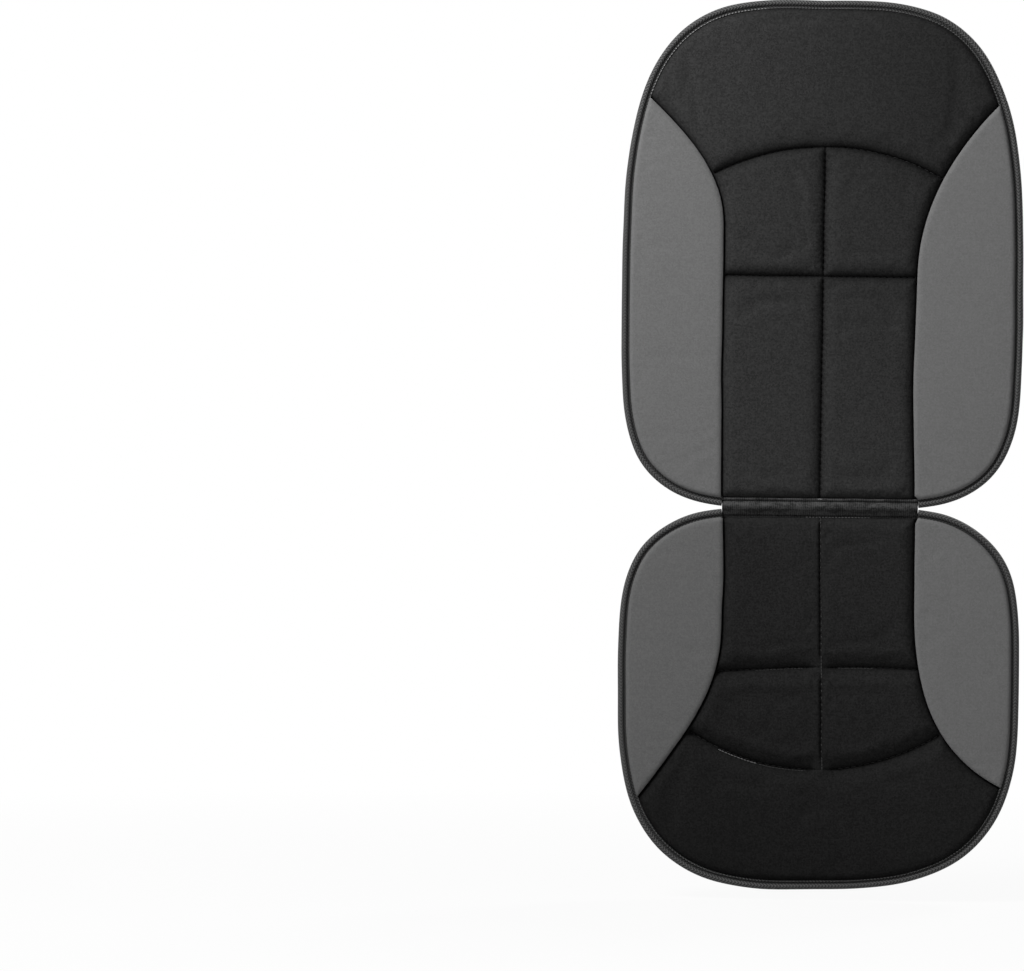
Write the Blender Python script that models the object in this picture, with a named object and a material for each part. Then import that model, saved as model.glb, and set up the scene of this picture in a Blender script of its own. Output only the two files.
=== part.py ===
"""Car seat cover: a quilted back pad and a quilted seat pad joined by a folding tape.

It hangs upright as it does on a display: +X to the viewer's right, +Z up, the faces towards -Y.
The origin is on the rear face of the back pad, at the pad's widest line. All sizes are in metres.
"""

import math
from collections import namedtuple

import bmesh
import bpy
import numpy as np
from mathutils import Matrix, Vector
from mathutils.geometry import delaunay_2d_cdt

# Outline of the pads: each half, above and below the widest line, is a superellipse
PAD_HALF_WIDTH = 0.250
BACK_RISE = 0.375
BACK_DROP = 0.258
BACK_TOP_ROUNDNESS = 3.3
BACK_BOTTOM_ROUNDNESS = 4.2
SEAT_RISE = 0.2195
SEAT_DROP = 0.253
SEAT_TOP_ROUNDNESS = 4.0
SEAT_BOTTOM_ROUNDNESS = 2.95
PAD_GAP = 0.004

# Layers from the rear face forward
GAP = 0.0003
BACKING_THICKNESS = 0.0015
FOAM_THICKNESS = 0.0059
SEAM_THICKNESS = 0.0110
PAD_THICKNESS = 0.0170
CROWN_REACH = 0.030

# Edge binding and folding tape
BINDING_WIDTH = 0.0105
BINDING_THICKNESS = 0.0100
BINDING_REAR = 0.0010
BINDING_SIDES = 8
TAPE_LENGTH = 0.2440
TAPE_THICKNESS = 0.0016
FOLD_CLEARANCE = 0.0010

# Seams between the black centre and the grey sides, measured from each pad's widest line
BACK_SEAM_BEND = 0.075
BACK_SEAM_PULL = 0.070
BACK_SEAM_TURN = (0.150, 0.180)
BACK_SEAM_END_FROM_SIDE = 0.031
SEAT_SEAM_BEND = 0.050
SEAT_SEAM_PULL = 0.050
SEAT_SEAM_TURN = (0.143, -0.048)
SEAT_SEAM_END_FROM_SIDE = 0.026

# Sewn channels of the centre panels, measured from each pad's widest line
BACK_ARC_APEX = 0.192
BACK_ARC_RADIUS = 0.2975
BACK_CROSS_CHANNEL = 0.030
SEAT_ARC_APEX = -0.109
SEAT_ARC_RADIUS = 0.294
SEAT_CROSS_CHANNEL = 0.0175

# Straps and anchors behind the pads
STRAP_THICKNESS = 0.0016
STRAP_TAB_HEIGHT = 0.025
STRAP_LAP = 0.012
STRAP_ROUNDING = 0.0004
HEADREST_STRAP_WIDTH = 0.030
HEADREST_STRAP_LENGTH = 0.185
HEADREST_STRAP_X = 0.048
HEADREST_TAB_FROM_TOP = 0.030
PATCH_WIDTH = 0.026
PATCH_HEIGHT = 0.060
PATCH_THICKNESS = 0.0013
PATCH_FROM_END = 0.005
ANCHOR_STRAP_WIDTH = 0.025
ANCHOR_STRAP_LENGTH = 0.110
ANCHOR_STRAP_X = 0.080
ANCHOR_TAB_FROM_FOLD = 0.030
DISC_RADIUS = 0.022
DISC_THICKNESS = 0.004
DISC_ROUNDING = 0.0012
RIVET_RADIUS = 0.0022
RIVET_HEAD_RADIUS = 0.0050
RIVET_HEAD_THICKNESS = 0.0010
RIVET_FROM_END = 0.010
ROUND_SIDES = 28

# Fineness of the faceted forms
RIM_SAMPLES = 240
EDGE_STEP = 0.018
PANEL_GRID = 0.021
GRID_MARGIN = 0.55
FLANK = 0.011
CHANNEL_STEP = 0.014
SEAM_STEPS = 12
HUB_OFFSET = 0.030

# Levels that follow from the layers
FOAM_REAR = BACKING_THICKNESS + GAP
FACE_BASE = FOAM_REAR + FOAM_THICKNESS + GAP
CROWN = PAD_THICKNESS - FACE_BASE
TAPE_HEIGHT = 2 * CROWN + FOLD_CLEARANCE
LAYER_INSET = BINDING_WIDTH + GAP
CORE_SETBACK = TAPE_HEIGHT / 2 + GAP
FACE_SETBACK = TAPE_HEIGHT / 2 + TAPE_THICKNESS / 2 + GAP
SEAM_X = TAPE_LENGTH / 2
TAB_FRONT = GAP
STRAP_FRONT = TAB_FRONT + STRAP_THICKNESS + GAP
STRAP_REAR = STRAP_FRONT + STRAP_THICKNESS
SWING_AXIS_Y = STRAP_REAR + GAP

# Heights of the two pads and of the fold between them
FOLD_Z = -(BACK_DROP + PAD_GAP / 2)
SEAT_Z = FOLD_Z - PAD_GAP / 2 - SEAT_RISE

Pad = namedtuple(
    "Pad",
    "name rise drop top_roundness bottom_roundness centre_z tape_sign "
    "seam_bend seam_pull seam_turn seam_end_from_side arc_apex arc_radius cross_channel",
)
BACK = Pad(
    "back", BACK_RISE, BACK_DROP, BACK_TOP_ROUNDNESS, BACK_BOTTOM_ROUNDNESS, 0.0, -1,
    BACK_SEAM_BEND, BACK_SEAM_PULL, BACK_SEAM_TURN, BACK_SEAM_END_FROM_SIDE,
    BACK_ARC_APEX, BACK_ARC_RADIUS, BACK_CROSS_CHANNEL,
)
SEAT = Pad(
    "seat", SEAT_RISE, SEAT_DROP, SEAT_TOP_ROUNDNESS, SEAT_BOTTOM_ROUNDNESS, SEAT_Z, 1,
    SEAT_SEAM_BEND, SEAT_SEAM_PULL, SEAT_SEAM_TURN, SEAT_SEAM_END_FROM_SIDE,
    SEAT_ARC_APEX, SEAT_ARC_RADIUS, SEAT_CROSS_CHANNEL,
)


def clear_scene():
    for obj in list(bpy.data.objects):
        bpy.data.objects.remove(obj, do_unlink=True)


def make_material(name, colour, roughness):
    material = bpy.data.materials.new(name)
    material.use_nodes = True
    shader = material.node_tree.nodes["Principled BSDF"]
    shader.inputs["Base Color"].default_value = (*colour, 1.0)
    shader.inputs["Roughness"].default_value = roughness
    shader.inputs["Metallic"].default_value = 0.0
    material.diffuse_color = (*colour, 1.0)
    return material


def make_axis(name, location):
    """An empty that carries the pieces of one moving body, on its joint's axis."""
    empty = bpy.data.objects.new(name, None)
    empty.location = location
    bpy.context.scene.collection.objects.link(empty)
    return empty


def add_object(name, bm, material, carrier, smooth=True):
    """Turns a bmesh built in world space into a named object carried by an empty."""
    bmesh.ops.recalc_face_normals(bm, faces=bm.faces)
    mesh = bpy.data.meshes.new(name)
    bm.to_mesh(mesh)
    bm.free()
    mesh.materials.append(material)
    if smooth:
        mesh.shade_smooth()
        mesh.set_sharp_from_angle(angle=math.radians(40))
    obj = bpy.data.objects.new(name, mesh)
    bpy.context.scene.collection.objects.link(obj)
    obj.parent = carrier
    obj.matrix_parent_inverse = Matrix.Translation(-carrier.location)
    return obj


def rim_point(pad, angle, inset):
    """A point of the pad's outline, moved inwards along the outline's normal."""
    cosine, sine = math.cos(angle), math.sin(angle)
    height = pad.rise if sine >= 0 else pad.drop
    power = pad.top_roundness if sine >= 0 else pad.bottom_roundness
    across = math.copysign(abs(cosine) ** (2 / power), cosine)
    along = math.copysign(abs(sine) ** (2 / power), sine)
    normal = Vector(
        (
            math.copysign(abs(across) ** (power - 1) / PAD_HALF_WIDTH, across),
            math.copysign(abs(along) ** (power - 1) / height, along),
        )
    ).normalized()
    return Vector((PAD_HALF_WIDTH * across, height * along)) - inset * normal


def cut_at_x(points, x):
    """The first place where a polyline crosses this x, as (index of the next point, point)."""
    for i in range(1, len(points)):
        first, second = points[i - 1], points[i]
        if (first.x - x) * (second.x - x) <= 0 and first.x != second.x:
            return i, first.lerp(second, (x - first.x) / (second.x - first.x))
    raise ValueError("the outline never reaches this x")


def resample(points, step):
    """Points at even distances along a polyline, its two ends included."""
    lengths = [(b - a).length for a, b in zip(points, points[1:])]
    total = sum(lengths)
    count = max(2, round(total / step))
    result = [points[0]]
    walked, i = 0.0, 0
    for k in range(1, count):
        target = total * k / count
        while walked + lengths[i] < target:
            walked += lengths[i]
            i += 1
        result.append(points[i].lerp(points[i + 1], (target - walked) / lengths[i]))
    return result + [points[-1]]


def offset_line(points, distance):
    """A polyline moved sideways, to the right of its run."""
    moved = []
    for i, point in enumerate(points):
        run = points[min(i + 1, len(points) - 1)] - points[max(i - 1, 0)]
        moved.append(point + distance * Vector((run.y, -run.x)).normalized())
    return moved


def mirrored(points):
    return [Vector((-p.x, p.y)) for p in points]


def right_rim(pad, inset, start_x):
    """The outline's right half, from start_x beside the tape round to the far centre."""
    fine = []
    for i in range(RIM_SAMPLES + 1):
        angle = pad.tape_sign * math.pi * (0.5 - i / RIM_SAMPLES)
        fine.append(rim_point(pad, angle, inset))
    fine[-1].x = 0.0
    index, start = cut_at_x(fine, start_x)
    return [start] + fine[index:]


def split_rim(pad, inset, start_x):
    """The right rim as its side stretch and its far stretch, which meet where the seam ends."""
    rim = right_rim(pad, inset, start_x)
    widest = max(range(len(rim)), key=lambda i: rim[i].x)
    index, corner = cut_at_x(rim[widest:], PAD_HALF_WIDTH - pad.seam_end_from_side)
    side = rim[: widest + index] + [corner]
    far = [corner] + rim[widest + index :]
    return resample(side, EDGE_STEP), resample(far, EDGE_STEP)


def tape_edge(pad, setback):
    """Height, from the pad's widest line, of a layer's straight edge along the tape."""
    return FOLD_Z - pad.centre_z - pad.tape_sign * setback


def seam_line(pad, start, corner, shift):
    """The right seam from the tape's side to the rim, moved sideways by shift."""
    bend = Vector((SEAM_X, pad.seam_bend))
    pull = bend - Vector((0.0, pad.tape_sign * pad.seam_pull))
    turn = Vector(pad.seam_turn)
    points = resample([Vector((SEAM_X, start)), bend], EDGE_STEP)
    for i in range(1, SEAM_STEPS + 1):
        t = i / SEAM_STEPS
        u = 1 - t
        points.append(
            u**3 * bend + 3 * u * u * t * pull + 3 * u * t * t * turn + t**3 * corner
        )
    return offset_line(points, -pad.tape_sign * shift)


def centre_outline(pad):
    edge = tape_edge(pad, FACE_SETBACK)
    _, far = split_rim(pad, LAYER_INSET, SEAM_X)
    seam = seam_line(pad, edge, far[0], -GAP / 2)
    right = seam[:-1] + far
    left = mirrored(right[:-1])[::-1]
    along_tape = resample([left[-1], right[0]], EDGE_STEP)[1:-1]
    return right + left + along_tape


def side_outline(pad):
    side, _ = split_rim(pad, LAYER_INSET, SEAM_X + GAP / 2)
    seam = seam_line(pad, side[0].y, side[-1], GAP / 2)
    return side[:-1] + seam[:0:-1]


def core_outline(pad):
    """Foam and backing: the rim of the layers, with a straight edge along the tape."""
    edge = tape_edge(pad, CORE_SETBACK)
    side, far = split_rim(pad, LAYER_INSET, SEAM_X)
    right = [Vector((SEAM_X, edge))] + side + far[1:]
    left = mirrored(right[:-1])[::-1]
    return right + left


def inside(point, polygon):
    crossings = False
    for a, b in zip(polygon, polygon[1:] + polygon[:1]):
        if (a.y > point.y) != (b.y > point.y):
            x = a.x + (point.y - a.y) * (b.x - a.x) / (b.y - a.y)
            crossings ^= point.x < x
    return crossings


def distance_to_lines(points, lines):
    """Least distance of each point to a set of polylines."""
    spots = np.array([(p.x, p.y) for p in points])
    best = np.full(len(spots), np.inf)
    for line in lines:
        for a, b in zip(line, line[1:]):
            start = np.array(a)
            run = np.array(b) - start
            share = np.clip((spots - start) @ run / max(run @ run, 1e-12), 0, 1)
            nearest = start + share[:, None] * run
            best = np.minimum(best, np.linalg.norm(spots - nearest, axis=1))
    return best


def arc_height(pad, x):
    drop = pad.arc_radius - math.sqrt(pad.arc_radius**2 - x * x)
    return pad.arc_apex + pad.tape_sign * drop


def channels(pad, polygon):
    """The sewn lines of a centre panel: a curved one, one down the middle and one across."""
    reach = PAD_HALF_WIDTH - LAYER_INSET
    count = 2 * round(reach / CHANNEL_STEP)
    across = [reach * (2 * i / count - 1) for i in range(count + 1)]
    curved = [Vector((x, arc_height(pad, x))) for x in across]
    level = [Vector((x, pad.cross_channel)) for x in across]
    edge = tape_edge(pad, FACE_SETBACK)
    middle = resample([Vector((0.0, pad.arc_apex)), Vector((0.0, edge))], CHANNEL_STEP)
    margin = GRID_MARGIN * CHANNEL_STEP
    border = [polygon + polygon[:1]]
    kept = []
    for line in (curved, level, middle):
        clear = distance_to_lines(line, border) > margin
        kept.append([p for p, ok in zip(line, clear) if ok and inside(p, polygon)])
    return kept


def grid_points(polygon, lines):
    """A staggered grid inside a panel, clear of its border and its sewn lines."""
    left, right = min(p.x for p in polygon), max(p.x for p in polygon)
    low, high = min(p.y for p in polygon), max(p.y for p in polygon)
    rows = math.ceil((high - low) / PANEL_GRID)
    columns = math.ceil((right - left) / PANEL_GRID / 2) + 1
    middle = (left + right) / 2
    spots = []
    for row in range(rows + 1):
        for column in range(-columns, columns + 1):
            x = middle + PANEL_GRID * (column + 0.5 * (row % 2))
            spots.append(Vector((x, low + row * PANEL_GRID)))
    clear = distance_to_lines(spots, lines) > FLANK + GRID_MARGIN * PANEL_GRID
    return [p for p, ok in zip(spots, clear) if ok and inside(p, polygon)]


def flank_points(polygon, lines):
    """Rows of points along both sides of the border and the sewn lines, which keep creases even."""
    spots = []
    for line in lines:
        spots += offset_line(line, FLANK) + offset_line(line, -FLANK)
    clear = distance_to_lines(spots, lines) > FLANK * GRID_MARGIN
    return [p for p, ok in zip(spots, clear) if ok and inside(p, polygon)]


def panel_thickness(points, lines):
    """Quilted relief: thin at seams and sewn lines, crowned between them."""
    share = np.clip(distance_to_lines(points, lines) / CROWN_REACH, 0, 1)
    bulge = 1 - (1 - share) ** 2
    return SEAM_THICKNESS + (PAD_THICKNESS - SEAM_THICKNESS) * bulge


def make_panel(name, pad, polygon, sewn, material, carrier):
    """A quilted face panel: a crowned front over a flat base."""
    border = polygon + polygon[:1]
    lines = [border] + sewn
    spots = list(polygon)
    edges = [(i, (i + 1) % len(polygon)) for i in range(len(polygon))]
    for line in sewn:
        first = len(spots)
        spots += line
        edges += [(first + i, first + i + 1) for i in range(len(line) - 1)]
    spots += flank_points(polygon, lines)
    spots += grid_points(polygon, lines)
    flat, _, faces, *_ = delaunay_2d_cdt(spots, edges, [], 1, 1e-6)
    depth = panel_thickness(flat, lines)
    bm = bmesh.new()
    front = [
        bm.verts.new((p.x, -float(d), pad.centre_z + p.y)) for p, d in zip(flat, depth)
    ]
    for face in faces:
        bm.faces.new([front[i] for i in face])
    bmesh.ops.delete(bm, geom=[v for v in bm.verts if not v.link_faces], context="VERTS")
    border_edges = [e for e in bm.edges if e.is_boundary]
    skirt = bmesh.ops.extrude_edge_only(bm, edges=border_edges)["geom"]
    for vert in skirt:
        if isinstance(vert, bmesh.types.BMVert):
            vert.co.y = -FACE_BASE
    base_edges = [e for e in skirt if isinstance(e, bmesh.types.BMEdge) and e.is_boundary]
    bmesh.ops.contextual_create(bm, geom=base_edges)
    return add_object(name, bm, material, carrier)


def make_plate(name, pad, polygon, rear, thickness, material, carrier):
    """A flat layer between two depths, its faces fanned out from a hub."""
    hub = Vector((0.0, -pad.tape_sign * HUB_OFFSET))
    bm = bmesh.new()
    rings = []
    for depth in (rear, rear + thickness):
        ring = [bm.verts.new((p.x, -depth, pad.centre_z + p.y)) for p in polygon]
        centre = bm.verts.new((hub.x, -depth, pad.centre_z + hub.y))
        for a, b in zip(ring, ring[1:] + ring[:1]):
            bm.faces.new((a, b, centre))
        rings.append(ring)
    back, front = rings
    for i in range(len(polygon)):
        j = (i + 1) % len(polygon)
        bm.faces.new((back[i], back[j], front[j], front[i]))
    return add_object(name, bm, material, carrier)


def make_binding(name, pad, material, carrier):
    """Folded edge binding: an oval section swept round the rim from one end of the tape to the other."""
    right = resample(right_rim(pad, BINDING_WIDTH / 2, SEAM_X + GAP), EDGE_STEP)
    path = right + mirrored(right[:-1])[::-1]
    middle = -(BINDING_REAR + BINDING_THICKNESS / 2)
    bm = bmesh.new()
    rings = []
    for i, point in enumerate(path):
        run = path[min(i + 1, len(path) - 1)] - path[max(i - 1, 0)]
        if i in (0, len(path) - 1):
            run.y = 0.0
        across = Vector((run.y, -run.x)).normalized()
        ring = []
        for k in range(BINDING_SIDES):
            turn = math.tau * (k + 0.5) / BINDING_SIDES
            spot = point + across * math.cos(turn) * BINDING_WIDTH / 2
            y = middle + math.sin(turn) * BINDING_THICKNESS / 2
            ring.append(bm.verts.new((spot.x, y, pad.centre_z + spot.y)))
        rings.append(ring)
    for first, second in zip(rings, rings[1:]):
        for k in range(BINDING_SIDES):
            n = (k + 1) % BINDING_SIDES
            bm.faces.new((first[k], first[n], second[n], second[k]))
    bm.faces.new(rings[0])
    bm.faces.new(rings[-1])
    return add_object(name, bm, material, carrier)


def make_block(name, low, high, material, carrier, rounding=STRAP_ROUNDING):
    """A flat strip between two corners, with softened edges."""
    bm = bmesh.new()
    bmesh.ops.create_cube(bm, size=1.0)
    for vert in bm.verts:
        vert.co = [(a + b) / 2 + c * (b - a) for a, b, c in zip(low, high, vert.co)]
    bmesh.ops.bevel(
        bm, geom=bm.edges[:], offset=rounding, segments=1, profile=0.5, affect="EDGES"
    )
    return add_object(name, bm, material, carrier, smooth=False)


def make_turned(name, profile, centre, material, carrier):
    """A profile of (radius, y) turned about the Y axis through centre."""
    bm = bmesh.new()
    verts = [bm.verts.new((centre[0] + r, y, centre[1])) for r, y in profile]
    for a, b in zip(verts, verts[1:] + verts[:1]):
        bm.edges.new((a, b))
    bmesh.ops.spin(
        bm,
        geom=bm.edges[:],
        cent=(centre[0], 0.0, centre[1]),
        axis=(0.0, 1.0, 0.0),
        angle=math.tau,
        steps=ROUND_SIDES,
        use_merge=True,
    )
    bmesh.ops.remove_doubles(bm, verts=bm.verts, dist=1e-6)
    return add_object(name, bm, material, carrier)


def cut_round_hole(obj, centre, radius):
    bm = bmesh.new()
    bmesh.ops.create_cone(
        bm,
        cap_ends=True,
        segments=ROUND_SIDES,
        radius1=radius,
        radius2=radius,
        depth=10 * STRAP_THICKNESS,
        matrix=Matrix.Translation((centre[0], SWING_AXIS_Y, centre[1]))
        @ Matrix.Rotation(math.pi / 2, 4, "X"),
    )
    mesh = bpy.data.meshes.new(obj.name + "_hole")
    bm.to_mesh(mesh)
    bm.free()
    cutter = bpy.data.objects.new(obj.name + "_hole", mesh)
    bpy.context.scene.collection.objects.link(cutter)
    cutter.hide_render = True
    cutter.display_type = "WIRE"
    cut = obj.modifiers.new("rivet_hole", "BOOLEAN")
    cut.operation = "DIFFERENCE"
    cut.object = cutter


def make_pad(pad, finishes, carrier):
    centre = centre_outline(pad)
    sewn = channels(pad, centre)
    make_panel(pad.name + "_center_panel", pad, centre, sewn, finishes["black"], carrier)
    right = side_outline(pad)
    left = mirrored(right)[::-1]
    make_panel(pad.name + "_side_panel_right", pad, right, [], finishes["grey"], carrier)
    make_panel(pad.name + "_side_panel_left", pad, left, [], finishes["grey"], carrier)
    core = core_outline(pad)
    make_plate(
        pad.name + "_foam_core", pad, core, FOAM_REAR, FOAM_THICKNESS, finishes["foam"], carrier
    )
    make_plate(
        pad.name + "_backing", pad, core, 0.0, BACKING_THICKNESS, finishes["backing"], carrier
    )
    make_binding(pad.name + "_edge_binding", pad, finishes["binding"], carrier)


def make_tape(finishes, carrier):
    low = (-TAPE_LENGTH / 2, -FACE_BASE - TAPE_THICKNESS / 2, FOLD_Z - TAPE_HEIGHT / 2)
    high = (TAPE_LENGTH / 2, -FACE_BASE + TAPE_THICKNESS / 2, FOLD_Z + TAPE_HEIGHT / 2)
    make_block("hinge_tape", low, high, finishes["binding"], carrier)


def make_tab(name, x, swing_z, width, finishes, carrier):
    """The sewn-down end that a strap is lapped on."""
    low = (x - width / 2, TAB_FRONT, swing_z - STRAP_LAP)
    high = (x + width / 2, TAB_FRONT + STRAP_THICKNESS, swing_z - STRAP_LAP + STRAP_TAB_HEIGHT)
    make_block(name, low, high, finishes["elastic"], carrier)


def make_strap(name, x, swing_z, width, length, finishes, carrier):
    low = (x - width / 2, STRAP_FRONT, swing_z - length)
    high = (x + width / 2, STRAP_REAR, swing_z)
    return make_block(name, low, high, finishes["elastic"], carrier)


def make_headrest_straps(finishes, back_carrier):
    """Two straps that reach up round the headrest posts and close on each other."""
    swing_z = BACK_RISE - BINDING_WIDTH - HEADREST_TAB_FROM_TOP
    patch_low = swing_z - HEADREST_STRAP_LENGTH + PATCH_FROM_END
    hook_front = STRAP_REAR + GAP
    loop_front = STRAP_FRONT - GAP - PATCH_THICKNESS
    for side, x, patch, front in (
        ("left", -HEADREST_STRAP_X, "hook_patch", hook_front),
        ("right", HEADREST_STRAP_X, "loop_patch", loop_front),
    ):
        carrier = make_axis("headrest_swing_" + side, (x, SWING_AXIS_Y, swing_z))
        make_tab("headrest_tab_" + side, x, swing_z, HEADREST_STRAP_WIDTH, finishes, back_carrier)
        make_strap(
            "headrest_strap_" + side,
            x,
            swing_z,
            HEADREST_STRAP_WIDTH,
            HEADREST_STRAP_LENGTH,
            finishes,
            carrier,
        )
        low = (x - PATCH_WIDTH / 2, front, patch_low)
        high = (x + PATCH_WIDTH / 2, front + PATCH_THICKNESS, patch_low + PATCH_HEIGHT)
        make_block(patch, low, high, finishes["patch"], carrier)


def make_anchors(finishes, seat_carrier):
    """Two elastic straps with discs that are pushed through the gap behind a seat cushion."""
    swing_z = FOLD_Z - ANCHOR_TAB_FROM_FOLD
    rivet_z = swing_z - ANCHOR_STRAP_LENGTH + RIVET_FROM_END
    hole = RIVET_RADIUS + GAP
    disc_front = STRAP_REAR + GAP
    disc_rear = disc_front + DISC_THICKNESS
    head_front = STRAP_FRONT - GAP - RIVET_HEAD_THICKNESS
    tail_rear = disc_rear + GAP + RIVET_HEAD_THICKNESS
    disc_profile = [
        (hole, disc_front),
        (DISC_RADIUS - DISC_ROUNDING, disc_front),
        (DISC_RADIUS, disc_front + DISC_ROUNDING),
        (DISC_RADIUS, disc_rear - DISC_ROUNDING),
        (DISC_RADIUS - DISC_ROUNDING, disc_rear),
        (hole, disc_rear),
    ]
    rivet_profile = [
        (0.0, head_front),
        (RIVET_HEAD_RADIUS, head_front),
        (RIVET_HEAD_RADIUS, STRAP_FRONT - GAP),
        (RIVET_RADIUS, STRAP_FRONT - GAP),
        (RIVET_RADIUS, disc_rear + GAP),
        (RIVET_HEAD_RADIUS, disc_rear + GAP),
        (RIVET_HEAD_RADIUS, tail_rear),
        (0.0, tail_rear),
    ]
    for side, x in (("left", -ANCHOR_STRAP_X), ("right", ANCHOR_STRAP_X)):
        carrier = make_axis("anchor_swing_" + side, (x, SWING_AXIS_Y, swing_z))
        make_tab("anchor_tab_" + side, x, swing_z, ANCHOR_STRAP_WIDTH, finishes, seat_carrier)
        strap = make_strap(
            "anchor_strap_" + side,
            x,
            swing_z,
            ANCHOR_STRAP_WIDTH,
            ANCHOR_STRAP_LENGTH,
            finishes,
            carrier,
        )
        cut_round_hole(strap, (x, rivet_z), hole)
        make_turned("anchor_disc_" + side, disc_profile, (x, rivet_z), finishes["plastic"], carrier)
        make_turned("anchor_rivet_" + side, rivet_profile, (x, rivet_z), finishes["rivet"], carrier)


def make_finishes():
    return {
        "black": make_material("black_fabric", (0.022, 0.022, 0.024), 0.90),
        "grey": make_material("grey_fabric", (0.145, 0.146, 0.152), 0.90),
        "foam": make_material("foam", (0.62, 0.60, 0.52), 0.95),
        "backing": make_material("backing_cloth", (0.030, 0.030, 0.032), 0.85),
        "binding": make_material("binding_braid", (0.050, 0.050, 0.054), 0.75),
        "elastic": make_material("elastic_webbing", (0.024, 0.024, 0.026), 0.80),
        "patch": make_material("hook_and_loop", (0.018, 0.018, 0.020), 0.95),
        "plastic": make_material("black_plastic", (0.020, 0.020, 0.022), 0.45),
        "rivet": make_material("black_rivet", (0.030, 0.030, 0.032), 0.35),
    }


def main():
    clear_scene()
    finishes = make_finishes()
    back_carrier = make_axis("back_pad_carrier", (0.0, 0.0, 0.0))
    tape_carrier = make_axis("back_edge_fold", (0.0, -FACE_BASE, FOLD_Z + TAPE_HEIGHT / 2))
    seat_carrier = make_axis("seat_edge_fold", (0.0, -FACE_BASE, FOLD_Z - TAPE_HEIGHT / 2))
    make_pad(BACK, finishes, back_carrier)
    make_pad(SEAT, finishes, seat_carrier)
    make_tape(finishes, tape_carrier)
    make_headrest_straps(finishes, back_carrier)
    make_anchors(finishes, seat_carrier)


main()
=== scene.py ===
"""Looks of the quilted car seat cover: fine quilted pads, braid, folding tape, straps, light and camera.

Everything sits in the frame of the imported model: +X to the viewer's right, +Z up, the faces towards -Y.
All sizes are in metres.
"""

import math
import random
from collections import namedtuple

import bmesh
import bpy
import numpy as np
from mathutils import Matrix, Vector, noise
from mathutils.geometry import delaunay_2d_cdt, intersect_line_line_2d


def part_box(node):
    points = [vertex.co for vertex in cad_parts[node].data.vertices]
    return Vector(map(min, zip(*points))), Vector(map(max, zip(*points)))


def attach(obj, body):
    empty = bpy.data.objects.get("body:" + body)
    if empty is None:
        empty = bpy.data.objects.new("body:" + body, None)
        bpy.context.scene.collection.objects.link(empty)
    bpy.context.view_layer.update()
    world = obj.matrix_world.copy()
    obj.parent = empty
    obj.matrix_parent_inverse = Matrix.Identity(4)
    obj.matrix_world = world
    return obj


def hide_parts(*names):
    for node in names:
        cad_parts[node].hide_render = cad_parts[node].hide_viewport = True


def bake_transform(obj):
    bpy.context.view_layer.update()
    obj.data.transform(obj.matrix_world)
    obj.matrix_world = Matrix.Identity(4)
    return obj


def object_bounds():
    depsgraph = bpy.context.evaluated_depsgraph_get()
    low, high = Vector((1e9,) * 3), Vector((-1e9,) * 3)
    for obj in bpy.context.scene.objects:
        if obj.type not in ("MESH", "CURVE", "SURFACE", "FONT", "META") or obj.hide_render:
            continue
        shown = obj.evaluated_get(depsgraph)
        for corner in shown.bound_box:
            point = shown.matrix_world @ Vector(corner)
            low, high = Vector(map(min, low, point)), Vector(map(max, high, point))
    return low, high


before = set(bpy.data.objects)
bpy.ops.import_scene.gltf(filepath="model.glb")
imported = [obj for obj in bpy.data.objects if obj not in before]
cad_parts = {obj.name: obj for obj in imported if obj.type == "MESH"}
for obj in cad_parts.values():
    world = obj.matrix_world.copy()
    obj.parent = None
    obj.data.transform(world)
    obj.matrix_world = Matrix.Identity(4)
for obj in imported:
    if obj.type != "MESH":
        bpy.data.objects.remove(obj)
cad_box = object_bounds()
random.seed(7)

# Outline of the pads, as the solids have it: each half is a superellipse about the widest line
PAD_HALF_WIDTH = 0.250
FOLD_Z = -0.260
TAPE_HALF_LENGTH = 0.122
RIM_SAMPLES = 1200
SEAM_STEPS = 60

# Depths of the layers, from the rear face forward
FOAM_REAR = 0.0018
CROWN_DEPTH = 0.0165
CROWN_LIMIT = 0.0174

# How a face rolls off beside each kind of sewn line: depth at the line, reach, a tight pinch at the
# stitches, how much the pinch eases between one stitch and the next, and how the fall steepens
Roll = namedtuple("Roll", "depth reach pinch beads power", defaults=(2.2,))
CREASE = Roll(0.0103, 0.0165, 0.0033, 0.30)
MIDDLE_CREASE = Roll(0.0103, 0.0165, 0.0036, 0.85)
SEAT_CREASE = Roll(0.0062, 0.0240, 0.0026, 0.30, 1.9)
SEAT_MIDDLE = Roll(0.0148, 0.0050, 0.0028, 0.80)
SEAM = Roll(0.0106, 0.0150, 0.0022, 0.30)
BORDER = Roll(0.0104, 0.0115, 0.0012, 0.30)
TAPE_SIDE = Roll(0.0100, 0.0150, 0.0020, 0.30)
GREY_SEAM = Roll(0.0142, 0.0060, 0.0, 0.0)
GREY_BORDER = Roll(0.0140, 0.0045, 0.0010, 0.30)
PINCH_REACH = 0.0018

# Stitches: from one to the next, length and radius, and their shape as shares of length and radius
Stitch = namedtuple("Stitch", "pitch length radius")
CHANNEL_STITCH = Stitch(0.0084, 0.00672, 0.0006)
SHOWING_STITCH = Stitch(0.0042, 0.00399, 0.00042)
BRAID_STITCH = Stitch(0.0042, 0.0031, 0.00045)
TAPE_STITCH = Stitch(0.0040, 0.0030, 0.00045)
TAB_STITCH = Stitch(0.0028, 0.0021, 0.00030)
STITCH_SHAPE = ((-0.5, 0.0), (-0.36, 0.8), (0.0, 1.0), (0.36, 0.8), (0.5, 0.0))
STITCH_SIDES = 6

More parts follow.
